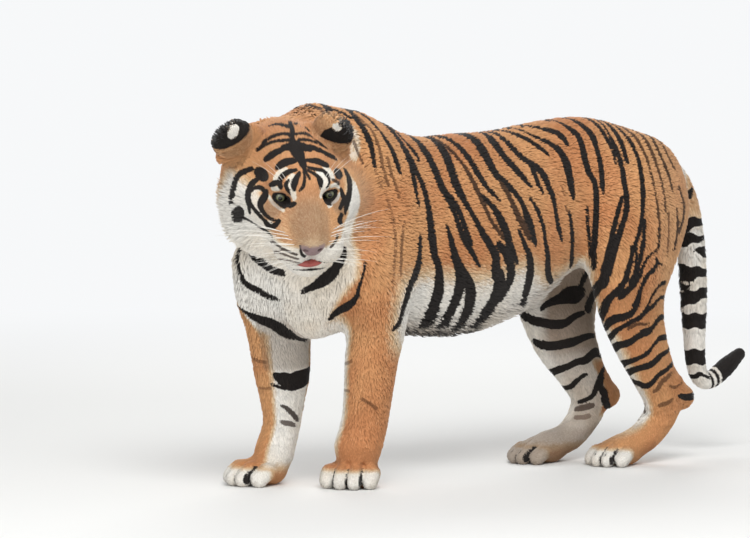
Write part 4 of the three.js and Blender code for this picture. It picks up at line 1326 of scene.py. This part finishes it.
def region_of(p):
    """The name of the region of the coat that each point is in."""
    x, y, z = p.T
    q = to_head(p)
    names = np.full(len(p), "body", dtype="<U5")
    names[(y < -130) & (z > 380)] = "neck"
    names[((y < -60) | (y > 430)) & (z < 400)] = "leg"
    names[z < 92] = "foot"
    names[(y > 712) & (np.abs(x) < 60)] = "tail"
    head = from_middle(q) < 168
    names[head & (q[:, 1] > 20)] = "cheek"
    names[head & ((q[:, 1] <= 20) | (q[:, 2] > 30))] = "face"
    for _, local, _ in in_ears(q):
        names[np.linalg.norm(local / (44, 32, 56), axis=1) < 1.05] = "ear"
    return names


def read(items, key, width, kind=np.float32):
    """An attribute of every item, a row for each."""
    values = np.empty(len(items) * width, kind)
    items.foreach_get(key, values)
    return values.reshape(-1, width)


def vertex_normals(mesh):
    return read(mesh.vertex_normals, "vector", 3).astype(float)


def scattered(mesh, count, rng):
    """Even random points on a mesh: place, normal and UV."""
    mesh.calc_loop_triangles()
    tris = mesh.loop_triangles
    corners = read(tris, "vertices", 3, np.int32)
    loops = read(tris, "loops", 3, np.int32)
    co = positions(mesh)
    normal = vertex_normals(mesh)
    uv = read(mesh.uv_layers.active.data, "uv", 2)
    a, b, c = (co[corners[:, i]] for i in range(3))
    area = np.linalg.norm(np.cross(b - a, c - a), axis=1)
    pick = np.searchsorted(np.cumsum(area) / area.sum(), rng.random(count))
    pick = np.minimum(pick, len(tris) - 1)
    r, s = np.sqrt(rng.random(count)), rng.random(count)
    w = np.stack([1 - r, r * (1 - s), r * s], -1)[..., None]
    return ((co[corners[pick]] * w).sum(1), unit((normal[corners[pick]] * w).sum(1)),
            (uv[loops[pick]] * w).sum(1))


def grow_roots(mesh, rng):
    """One root in each cell of space that the skin passes through, with its region."""
    places, normals, uvs = scattered(mesh, int(CANDIDATES * COAT_FINENESS), rng)
    names = region_of(places)
    q = to_head(places)
    m = beside(q)
    eye = np.linalg.norm(m - (EYE_SPREAD, EYE_BACK, EYE_UP), axis=1) < 21.5
    nose = (nose_leather(q) < 3.6) & (m[:, 1] < -80)
    lips = (m[:, 0] < 40) & (m[:, 1] < -50) & (np.abs(above_lips(m)) < 5.5)
    sole = places[:, 2] < 2.5
    ok = ~(eye | nose | lips | sole)
    places, normals, uvs, names = places[ok], normals[ok], uvs[ok], names[ok]
    index = region_index(names)
    step = REGION_TABLE[index, 0] / math.sqrt(COAT_FINENESS)
    key = np.concatenate([np.floor(places / step[:, None]).astype(np.int64),
                          index[:, None]], 1)
    _, keep = np.unique(key @ np.array([1, 4096, 4096 ** 2, 4096 ** 3 // 8]),
                        return_index=True)
    return places[keep], normals[keep], uvs[keep], names[keep]


def piece_of(p, names):
    """The name of the piece that each tuft belongs to."""
    x, y, _ = p.T
    out = np.full(len(p), "coat_trunk_left", dtype="<U18")
    out[x < 0] = "coat_trunk_right"
    out[y > 360] = "coat_haunch_left"
    out[(y > 360) & (x < 0)] = "coat_haunch_right"
    out[names == "neck"] = "coat_neck"
    leg = np.isin(names, ("leg", "foot"))
    out[leg & (y < 120)] = "coat_forelegs"
    out[leg & (y >= 120)] = "coat_hindlegs"
    out[names == "tail"] = "coat_tail"
    out[np.isin(names, ("face", "cheek", "ear"))] = "coat_head"
    return out


def fringe(p, n):
    """Longer hair along the belly, at the back of the thighs, on the cheeks and chest."""
    x, y, z = p.T
    q = to_head(p)
    belly = ease(-90, -20, y) * ease(420, 340, y) * ease(-0.35, -0.8, n[:, 2]) * ease(250, 300, z)
    ruff = ease(45, 80, q[:, 1]) * ease(20, -40, q[:, 2]) * (from_middle(q) < 180)
    chest = ease(-200, -260, y) * ease(560, 500, z) * ease(330, 380, z) * ease(80, 50, np.abs(x))
    thigh = ease(600, 650, y) * ease(240, 300, z) * ease(520, 460, z) * 0.5
    return 1.5 * belly + 0.5 * ruff + 0.5 * chest + thigh


def cheek_ruff(p):
    """Where the long hair of the cheeks stands out, most of all on the right."""
    side, back, up = to_head(p).T
    return (ease(70, 100, np.abs(side)) * ease(15, 45, back) * ease(150, 115, back)
            * ease(5, -45, up) * ease(-140, -100, up) * np.where(side > 0, 0.25, 1.0))


def tuft_rows(p, n, names, ink, rng):
    """Each tuft's root, middle and tip, its way across, its width, and the markings of its
    middle and tip; tufts are shorter by a mark's edge."""
    row = REGION_TABLE[region_index(names)]
    ruff = cheek_ruff(p)
    long = row[:, 1] * rng.uniform(0.75, 1.2, len(p)) * (1 + fringe(p, n) + 0.9 * ruff)
    q = to_head(p)
    brow = (names == "face") * ease(-60, 60, q[:, 1])
    long = long * (1 + 0.8 * brow) * (1 - 0.42 * ease(9, 3, np.abs(ink)) * (names != "face"))
    wide = row[:, 1] * row[:, 2] * rng.uniform(0.8, 1.25, len(p))
    rise = (1 - SKIN_SHARE) * fur_depth(p) * rng.uniform(0.6, 1.12, len(p))
    rise = rise * (1 + 0.7 * np.clip(fringe(p, n), 0, 1.5) * rng.uniform(-0.5, 1, len(p)))
    rise = rise + RUFF_RISE * ruff * rng.uniform(0.2, 1, len(p))
    lie = lie_of(p, n)
    across = np.cross(n, lie)
    sway = rng.normal(0, 0.11, len(p))[:, None]
    lie = unit(lie + across * sway)
    across = np.cross(n, lie)
    root = p - n * 0.8
    middle = p + lie * long[:, None] * 0.48
    tip = p + lie * long[:, None]
    seen = []
    for point, height in ((middle, rise * 0.62), (tip, rise)):
        for _ in range(2):
            point += n * np.clip(height - skin_field(point), -9, 9)[:, None] * 0.9
        point[:, 2] = np.maximum(point[:, 2], 0.6)
        seen.append(markings_at(point, n, height))
    return root, middle, tip, across, wide, seen


def set_values(mesh, values):
    for key, value in values.items():
        attribute = mesh.attributes.new(key, "FLOAT", "POINT")
        attribute.data.foreach_set("value", value.astype(np.float32))


def tuft_mesh(name, root, middle, tip, across, wide, n, uv, values):
    """All tufts of a piece in one mesh: each a three-sided spike with a closed root."""
    count = len(root)
    up = unit(n)
    half = (wide / 2)[:, None]
    crown = up * half * 0.62
    points = np.stack([root - across * half * 0.7, root + across * half * 0.7,
                       root + crown * 0.5,
                       middle - across * half - up * 0.2, middle + across * half - up * 0.2,
                       middle + crown, tip], 1).reshape(-1, 3)
    corner = np.array([(0, 1, 4, 3), (1, 2, 5, 4), (2, 0, 3, 5)])
    caps = np.array([(0, 2, 1), (3, 4, 6), (4, 5, 6), (5, 3, 6)])
    base = np.arange(count)[:, None, None] * TUFT_POINTS
    quads = (corner[None] + base).reshape(-1, 4)
    tris = (caps[None] + base).reshape(-1, 3)
    mesh = bpy.data.meshes.new(name)
    mesh.vertices.add(len(points))
    mesh.vertices.foreach_set("co", to_metres(points).ravel())
    loops = np.concatenate([quads.ravel(), tris.ravel()])
    sizes = np.concatenate([np.full(len(quads), 4), np.full(len(tris), 3)])
    starts = np.concatenate([[0], np.cumsum(sizes)[:-1]])
    mesh.loops.add(len(loops))
    mesh.loops.foreach_set("vertex_index", loops.astype(np.int32))
    mesh.polygons.add(len(sizes))
    mesh.polygons.foreach_set("loop_start", starts.astype(np.int32))
    mesh.polygons.foreach_set("use_smooth", np.ones(len(sizes), bool))
    mesh.update(calc_edges=True)
    around = np.array([(-1, -1), (1, -1), (0, -1), (-1, 0.4), (1, 0.4), (0, 0.4), (0, 1.0)])
    patch = (uv[:, None] + around[None] * 0.0015).reshape(-1, 2)
    layer = mesh.uv_layers.new(name="OFBake")
    layer.data.foreach_set("uv", patch[loops].astype(np.float32).ravel())
    set_values(mesh, {key: np.repeat(value, (3, 3, 1), axis=1).ravel()
                      for key, value in values.items()})
    set_values(mesh, {"along": np.tile((0, 0, 0, 0.5, 0.5, 0.5, 1), count)})
    out = np.array([(-0.5, 0), (0.5, 0), (0, 0.6), (-0.5, 0), (0.5, 0), (0, 0.6), (0, 0.2)])
    normal = (up[:, None] + across[:, None] * out[None, :, :1] + up[:, None] * out[None, :, 1:])
    mesh.normals_split_custom_set_from_vertices(unit(normal.reshape(-1, 3)))
    return mesh


def grow_coat(mesh):
    rng = np.random.default_rng(SEED + 1)
    p, n, uv, names = grow_roots(mesh, rng)
    first = markings_at(p, n)
    root, middle, tip, across, wide, seen = tuft_rows(p, n, names, first["ink"], rng)
    stages = [first] + seen
    values = {key: np.stack([stage[key] for stage in stages], 1) for key in stages[0]}
    values["strand"] = np.repeat(rng.random(len(p))[:, None], 3, axis=1)
    pieces, groups = [], piece_of(p, names)
    for name in np.unique(groups):
        members = np.flatnonzero(groups == name)
        members = members[np.argsort(p[members, 2] if "leg" in name else p[members, 1],
                                     kind="stable")]
        parts = np.array_split(members, math.ceil(len(members) / TUFTS_A_PIECE))
        for number, some in enumerate(parts):
            label = name if len(parts) == 1 else f"{name}_{number + 1}"
            made = tuft_mesh(label, root[some], middle[some], tip[some], across[some],
                             wide[some], n[some], uv[some],
                             {key: value[some] for key, value in values.items()})
            pieces.append(linked(label, made))
    return pieces


def unwrap(thing):
    """A UV map of the skin's own shape."""
    thing.data.uv_layers.new(name="skin")
    bpy.context.view_layer.objects.active = thing
    thing.select_set(True)
    bpy.ops.object.mode_set(mode="EDIT")
    bpy.ops.mesh.select_all(action="SELECT")
    bpy.ops.uv.smart_project(angle_limit=1.15, island_margin=0.004, scale_to_bounds=True)
    bpy.ops.object.mode_set(mode="OBJECT")


skin_mesh = build_skin()
skin = linked("skin", skin_mesh)
unwrap(skin)
skin_mesh.polygons.foreach_set("use_smooth", np.ones(len(skin_mesh.polygons), bool))
set_values(skin_mesh, markings_at(positions(skin_mesh), vertex_normals(skin_mesh)))
# the skin between the tufts takes the painted shade of the tufts' roots
set_values(skin_mesh, {"strand": np.full(len(skin_mesh.vertices), 0.5),
                       "along": np.full(len(skin_mesh.vertices), 0.35)})
coat = grow_coat(skin_mesh)
put_positions(skin_mesh, to_metres(positions(skin_mesh)))


# ---------- eyes, tongue and whiskers ----------
EYE_TURN = 7.0                             # degrees that each eye is turned to its own side
CORNEA_REACH, CORNEA_BULGE = 11.5, 1.6
TONGUE, TONGUE_HALF = (-3, -83, -98), (28, 17, 9)    # middle, in the head's frame
BRISTLE_STEPS = 7
# height of each row of whiskers on a pad, and how many grow in it
WHISKER_ROWS = ((-58, 5), (-67, 6), (-76, 5), (-84, 3))


def eyeball(name, side):
    """An eye with a bulging cornea, turned a little to its own side."""
    bm = bmesh.new()
    bmesh.ops.create_uvsphere(bm, u_segments=48, v_segments=32, radius=EYE_RADIUS)
    bmesh.ops.rotate(bm, verts=bm.verts, matrix=turned(0, 90).to_3x3())
    for v in bm.verts:
        off = math.hypot(v.co.x, v.co.z)
        if v.co.y < 0:
            v.co.y -= CORNEA_BULGE * max(0.0, 1 - (off / CORNEA_REACH) ** 2) ** 1.5
    look = turned(side * EYE_TURN, 0)
    place = (side * EYE_SPREAD, EYE_BACK, EYE_UP)
    bmesh.ops.transform(bm, verts=bm.verts, matrix=HEAD_PLACE @ moved(*place) @ look)
    mesh = written(bm, bpy.data.meshes.new(name))
    local = (to_head(positions(mesh)) - place) @ np.array(look.to_3x3())
    set_values(mesh, {"off_x": local[:, 0], "off_z": local[:, 2]})
    return finished(mesh)


def tongue_piece():
    """The tongue's tip between the lips, with a shallow groove down its middle."""
    bm = bmesh.new()
    bmesh.ops.create_uvsphere(bm, u_segments=40, v_segments=24, radius=1)
    for v in bm.verts:
        v.co.z -= 0.35 * math.exp(-(v.co.x / 0.16) ** 2) * max(v.co.z, 0)
    bmesh.ops.transform(bm, verts=bm.verts,
                        matrix=HEAD_PLACE @ moved(*TONGUE) @ sized(*TONGUE_HALF))
    return finished(written(bm, bpy.data.meshes.new("tongue_tip")))


def rooted(side, *place):
    """A point of the skin, near a place of the head's frame, on the left (1) or right (-1)."""
    q = to_head(settle(from_head([place]), skin_field, 12, 8.0))
    return from_head(q * (side, 1, 1))[0]


def whiskers():
    """Long white bristles in rows from each pad, with a few over the eyes."""
    rng = np.random.default_rng(SEED + 2)
    bm = bmesh.new()
    for side in (1, -1):
        for row, (height, count) in enumerate(WHISKER_ROWS):
            for i in range(count):
                fore = -88 + i * 9 + rng.uniform(-2, 2)
                start = rooted(side, 30 + i * 3, fore, height + rng.uniform(-2, 2))
                long = rng.uniform(85, 150) * (1 - 0.12 * row)
                way = unit(np.array([side * (0.9 + 0.1 * rng.random()),
                                     0.22 + 0.09 * i, 0.1 - 0.13 * row
                                     + rng.uniform(-0.07, 0.07)]))
                add_bristle(bm, start, way @ HEAD.T, long, 0.75)
        for i in range(3):
            start = rooted(side, 36 + i * 7, -10, 44 + 2 * i)
            way = unit(np.array([side * (0.5 + 0.2 * i), 0.1, 0.9]))
            add_bristle(bm, start, way @ HEAD.T, 55 + 12 * i, 0.5)
    return finished(written(bm, bpy.data.meshes.new("whiskers")))


def add_bristle(bm, start, way, long, radius):
    """A tapering bristle that droops towards its tip."""
    ring = None
    for step in range(BRISTLE_STEPS + 1):
        t = step / BRISTLE_STEPS
        at = start + way * long * t + np.array((0, 0, -0.14 * long * t * t))
        width = radius * (1 - 0.85 * t)
        axis = Vector(unit(way + np.array((0, 0, -0.28 * t))))
        place = moved(*at) @ axis.to_track_quat("Z", "Y").to_matrix().to_4x4()
        made = bmesh.ops.create_circle(bm, cap_ends=t in (0, 1), segments=5, radius=width,
                                       matrix=place)["verts"]
        edges = [e for e in {e for v in made for e in v.link_edges}
                 if e.verts[0] in made and e.verts[1] in made]
        if ring:
            bmesh.ops.bridge_loops(bm, edges=ring + edges)
        ring = edges


eyes = {1: eyeball("eyeball_left", 1), -1: eyeball("eyeball_right", -1)}
tongue = tongue_piece()
bristles = whiskers()


# ---------- materials ----------
class Wire:
    """A socket of a material's nodes; sums on wires add the nodes that work them out."""

    def __init__(self, socket):
        self.socket = socket

    def math(self, operation, *others):
        return node(self.socket.id_data, "Math", {"operation": operation},
                    dict(enumerate((self,) + others)))

    def __add__(self, other):
        return self.math("ADD", other)

    def __sub__(self, other):
        return self.math("SUBTRACT", other)

    def __rsub__(self, other):
        return self.math("MULTIPLY", -1).math("ADD", other)

    def __mul__(self, other):
        return self.math("MULTIPLY", other)

    def between(self, low, high):
        """0 below low, 1 above high."""
        return node(self.socket.id_data, "MapRange", {"interpolation_type": "SMOOTHSTEP"},
                    {"Value": self, "From Min": low, "From Max": high})

    __radd__, __rmul__ = __add__, __mul__


def node(tree, kind, settings=None, inputs=None, output=0):
    """Adds a node with its settings and its sockets' values or links."""
    made = tree.nodes.new("ShaderNode" + kind)
    for key, value in (settings or {}).items():
        setattr(made, key, value)
    for key, value in (inputs or {}).items():
        if isinstance(value, Wire):
            tree.links.new(value.socket, made.inputs[key])
        else:
            made.inputs[key].default_value = value
    return Wire(made.outputs[output])


def linear(red, green, blue):
    """A colour given as it looks on a screen, 0 to 255."""
    return tuple((c / 255 / 12.92) if c / 255 <= 0.04045 else ((c / 255 + 0.055) / 1.055) ** 2.4
                 for c in (red, green, blue)) + (1.0,)


def mixed(tree, share, first, second):
    return node(tree, "Mix", {"data_type": "RGBA"}, {0: share, 6: first, 7: second}, 2)


def material(name):
    """A material, its tree and its surface shader."""
    made = bpy.data.materials.new(name)
    made.use_nodes = True
    shader = made.node_tree.nodes["Principled BSDF"]
    return made, made.node_tree, shader


def join(tree, wire, shader, socket):
    tree.links.new(wire.socket, shader.inputs[socket])


def attribute(tree, name):
    return node(tree, "Attribute", {"attribute_name": name}, output=2)


def own_place(tree):
    """Where a point of the object is, in its own metres."""
    return node(tree, "TexCoord", output=3)


def noise(tree, scale, detail=2.0, vector=None):
    inputs = {"Scale": scale, "Detail": detail}
    if vector:
        inputs["Vector"] = vector
    return node(tree, "TexNoise", {}, inputs)


def bumped(tree, shader, strength, distance, height):
    bump = node(tree, "Bump", {}, {"Strength": strength, "Distance": distance,
                                   "Height": height})
    join(tree, bump, shader, "Normal")


ORANGE, RUST, TAN = linear(208, 152, 102), linear(194, 130, 84), linear(212, 176, 134)
SAND = linear(220, 190, 152)
WHITE, CREAM, INK = linear(240, 236, 228), linear(222, 202, 172), linear(24, 18, 15)
BROWN_INK, LEATHER = linear(112, 66, 36), linear(134, 112, 112)
# the grey brown of the painted shade
SHADE_BROWN = linear(130, 106, 84)


def coat_material(name, skin_side):
    """The look of the markings' values, with a finer grain over them."""
    made, tree, shader = material(name)
    place = own_place(tree)
    ink, depth, pale, tawny, bare, strand, along, painted_shade = (attribute(tree, key) for key in (
        "ink", "depth", "pale", "tawny", "bare", "strand", "along", "painted_shade"))
    broad = noise(tree, 7.0, 2.0, place)
    fine = noise(tree, 160.0, 3.0, place)
    warm = mixed(tree, broad.between(0.35, 0.7), ORANGE, RUST)
    warm = mixed(tree, tawny, warm, TAN)
    light = mixed(tree, broad.between(0.4, 0.75) * 0.5, WHITE, CREAM)
    edge = pale + (fine - 0.5) * 0.25 + (strand - 0.5) * 0.2
    body = mixed(tree, edge.between(0.02, 0.5), warm, SAND)
    body = mixed(tree, edge.between(0.4, 0.92), body, light)
    # painted shade: a grey brown mixed over the colour
    body = mixed(tree, painted_shade, body, SHADE_BROWN)
    # painted shade: darker towards each tuft's root and on the skin between the tufts; the strand
    # and the grain add random tone
    shade = (strand * 0.22 + along * 0.2 + fine * 0.16 + 0.67)
    shade = shade.math("MINIMUM", 1.12)
    body = node(tree, "Mix", {"data_type": "RGBA", "blend_type": "MULTIPLY"},
                {0: 1.0, 6: body, 7: node(tree, "CombineColor", {},
                                          {0: shade, 1: shade, 2: shade})}, 2)
    mark = (ink + (fine - 0.5) * 1.3 + (strand - 0.5) * 1.3).between(-0.9, 0.9)
    black = mixed(tree, depth, BROWN_INK, INK)
    mark = mark * (depth * 0.75 + 0.25).math("MINIMUM", 1.0)
    body = mixed(tree, mark, body, black)
    if skin_side:
        body = mixed(tree, bare, body, LEATHER)
    join(tree, body, shader, "Base Color")
    join(tree, 0.72 - bare * 0.3, shader, "Roughness")
    shader.inputs["Specular IOR Level"].default_value = 0.25
    shader.inputs["Sheen Weight"].default_value = 0.12
    shader.inputs["Sheen Roughness"].default_value = 0.5
    bumped(tree, shader, 0.25 if skin_side else 0.1, 0.002, noise(tree, 420.0, 4.0, place))
    return made


def eye_material():
    """A dark pupil, a grey green iris with spokes, and a dark rim."""
    made, tree, shader = material("wet_eye")
    x, z = attribute(tree, "off_x"), attribute(tree, "off_z")
    off = (x * x + z * z).math("POWER", 0.5)
    turn = z.math("ARCTAN2", x)
    spokes = noise(tree, 1.0, 3.0, node(tree, "CombineXYZ", {}, {0: turn * 9.0,
                                                                 1: off * 0.25, 2: 0.0}))
    iris = mixed(tree, (off + (spokes - 0.5) * 3.0).between(5.0, 10.0), linear(132, 134, 100),
                 linear(56, 60, 42))
    iris = mixed(tree, spokes.between(0.4, 0.8) * 0.7, iris, linear(82, 86, 60))
    colour = mixed(tree, off.between(4.2, 5.0), linear(6, 6, 6), iris)
    colour = mixed(tree, off.between(8.6, 10.2), colour, linear(16, 13, 11))
    colour = mixed(tree, off.between(13.5, 16.0), colour, linear(90, 70, 60))
    join(tree, colour, shader, "Base Color")
    shader.inputs["Roughness"].default_value = 0.08
    shader.inputs["Coat Weight"].default_value = 0.6
    return made


def tongue_material():
    made, tree, shader = material("moist_tongue")
    grain = noise(tree, 600.0, 3.0, own_place(tree))
    join(tree, mixed(tree, grain, linear(140, 58, 54), linear(172, 86, 78)), shader,
         "Base Color")
    join(tree, 0.5 - grain * 0.2, shader, "Roughness")
    bumped(tree, shader, 0.5, 0.001, grain)
    return made


def bristle_material():
    made, tree, shader = material("whisker_white")
    grain = noise(tree, 90.0, 2.0, own_place(tree))
    join(tree, mixed(tree, grain, linear(250, 248, 242), linear(228, 222, 210)), shader,
         "Base Color")
    shader.inputs["Roughness"].default_value = 0.4
    return made


skin.data.materials.append(coat_material("skin_fur", True))
coat_look = coat_material("coat_fur", False)
for piece in coat:
    piece.data.materials.append(coat_look)
eye_look = eye_material()
for piece in eyes.values():
    piece.data.materials.append(eye_look)
tongue.data.materials.append(tongue_material())
bristles.data.materials.append(bristle_material())


# ---------- what each piece rides on, and the solids that are hidden ---
FLESH = ["head", "neck", "trunk", "ear_left", "ear_right", "tail_base", "tail_mid",
         "tail_tip"] + [f"{part}_{side}" for part in ("foreleg", "forearm", "forepaw",
                                                      "hindleg", "shank", "hindpaw")
                        for side in ("left", "right")]
for piece in [skin, tongue, bristles, *coat, *eyes.values()]:
    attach(piece, "root")
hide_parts(*FLESH)
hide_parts("eye_left")
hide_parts("eye_right")
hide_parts("tongue")


# ---------- floor, lamps and camera ----------
CAMERA_TURN, CAMERA_RISE, CAMERA_AWAY = 55.0, 3.5, 8.0
AIM = Vector((-0.15895, -0.20061, 0.436))
FOCAL = 180.5
LAMP_AIM = Vector((0, 0, 0.45))
BACKGROUND = (0.93, 0.94, 0.95, 1)


def floor():
    bm = bmesh.new()
    bmesh.ops.create_grid(bm, x_segments=2, y_segments=2, size=30)
    mesh = written(bm, bpy.data.meshes.new("floor"))
    thing = linked("floor", mesh)
    made, tree, shader = material("plain_floor")
    place = own_place(tree)
    shade = noise(tree, 0.4, 1.0, place)
    join(tree, mixed(tree, shade, linear(232, 232, 230), linear(238, 238, 236)), shader,
         "Base Color")
    shader.inputs["Roughness"].default_value = 0.9
    shader.inputs["Specular IOR Level"].default_value = 0.1
    # far off, the camera sees the floor run into the white behind it
    far = node(tree, "VectorMath", {"operation": "LENGTH"}, {0: place}, 1).between(1.8, 5.0)
    glow = node(tree, "Emission", {}, {"Color": BACKGROUND, "Strength": 1.0})
    seen = node(tree, "LightPath") * far
    cover = node(tree, "MixShader", {}, {0: seen, 1: Wire(shader.outputs[0]), 2: glow})
    tree.links.new(cover.socket, tree.nodes["Material Output"].inputs["Surface"])
    mesh.materials.append(made)


def aimed(name, data, place, way):
    """A new object at a place that looks along a direction."""
    thing = linked(name, data)
    thing.location = place
    thing.rotation_mode = "QUATERNION"
    thing.rotation_quaternion = way.to_track_quat("-Z", "Y")
    return thing


def lamp(name, place, size, power):
    light = bpy.data.lights.new(name, "AREA")
    light.shape, light.size, light.energy = "DISK", size, power
    aimed(name, light, place, LAMP_AIM - Vector(place))


def daylight():
    """A soft pale sky; the camera itself sees plain white behind the floor."""
    world = bpy.data.worlds.new("studio")
    bpy.context.scene.world = world
    world.use_nodes = True
    tree = world.node_tree
    back = tree.nodes["Background"]
    path = tree.nodes.new("ShaderNodeLightPath")
    seen = Wire(path.outputs["Is Camera Ray"]).math("MAXIMUM", Wire(path.outputs["Is Glossy Ray"]))
    seen = seen.math("MAXIMUM", Wire(path.outputs["Is Transmission Ray"]))
    strength = seen * 0.45 + 0.55
    tree.links.new(strength.socket, back.inputs["Strength"])
    back.inputs["Color"].default_value = BACKGROUND


def camera():
    turn, rise = math.radians(CAMERA_TURN), math.radians(CAMERA_RISE)
    back = Vector((math.sin(turn) * math.cos(rise), -math.cos(turn) * math.cos(rise),
                   math.sin(rise)))
    lens = bpy.data.cameras.new("camera")
    lens.sensor_width, lens.lens = 36.0, FOCAL
    lens.clip_end = 100
    bpy.context.scene.camera = aimed("camera", lens, AIM + back * CAMERA_AWAY, -back)


floor()
daylight()
lamp("key", (3.2, -1.6, 4.2), 2.6, 150)
lamp("fill", (2.6, -4.4, 1.8), 3.2, 60)
lamp("rim", (-3.4, 2.6, 3.6), 2.6, 90)
camera()
bpy.context.scene.view_settings.view_transform = "Standard"
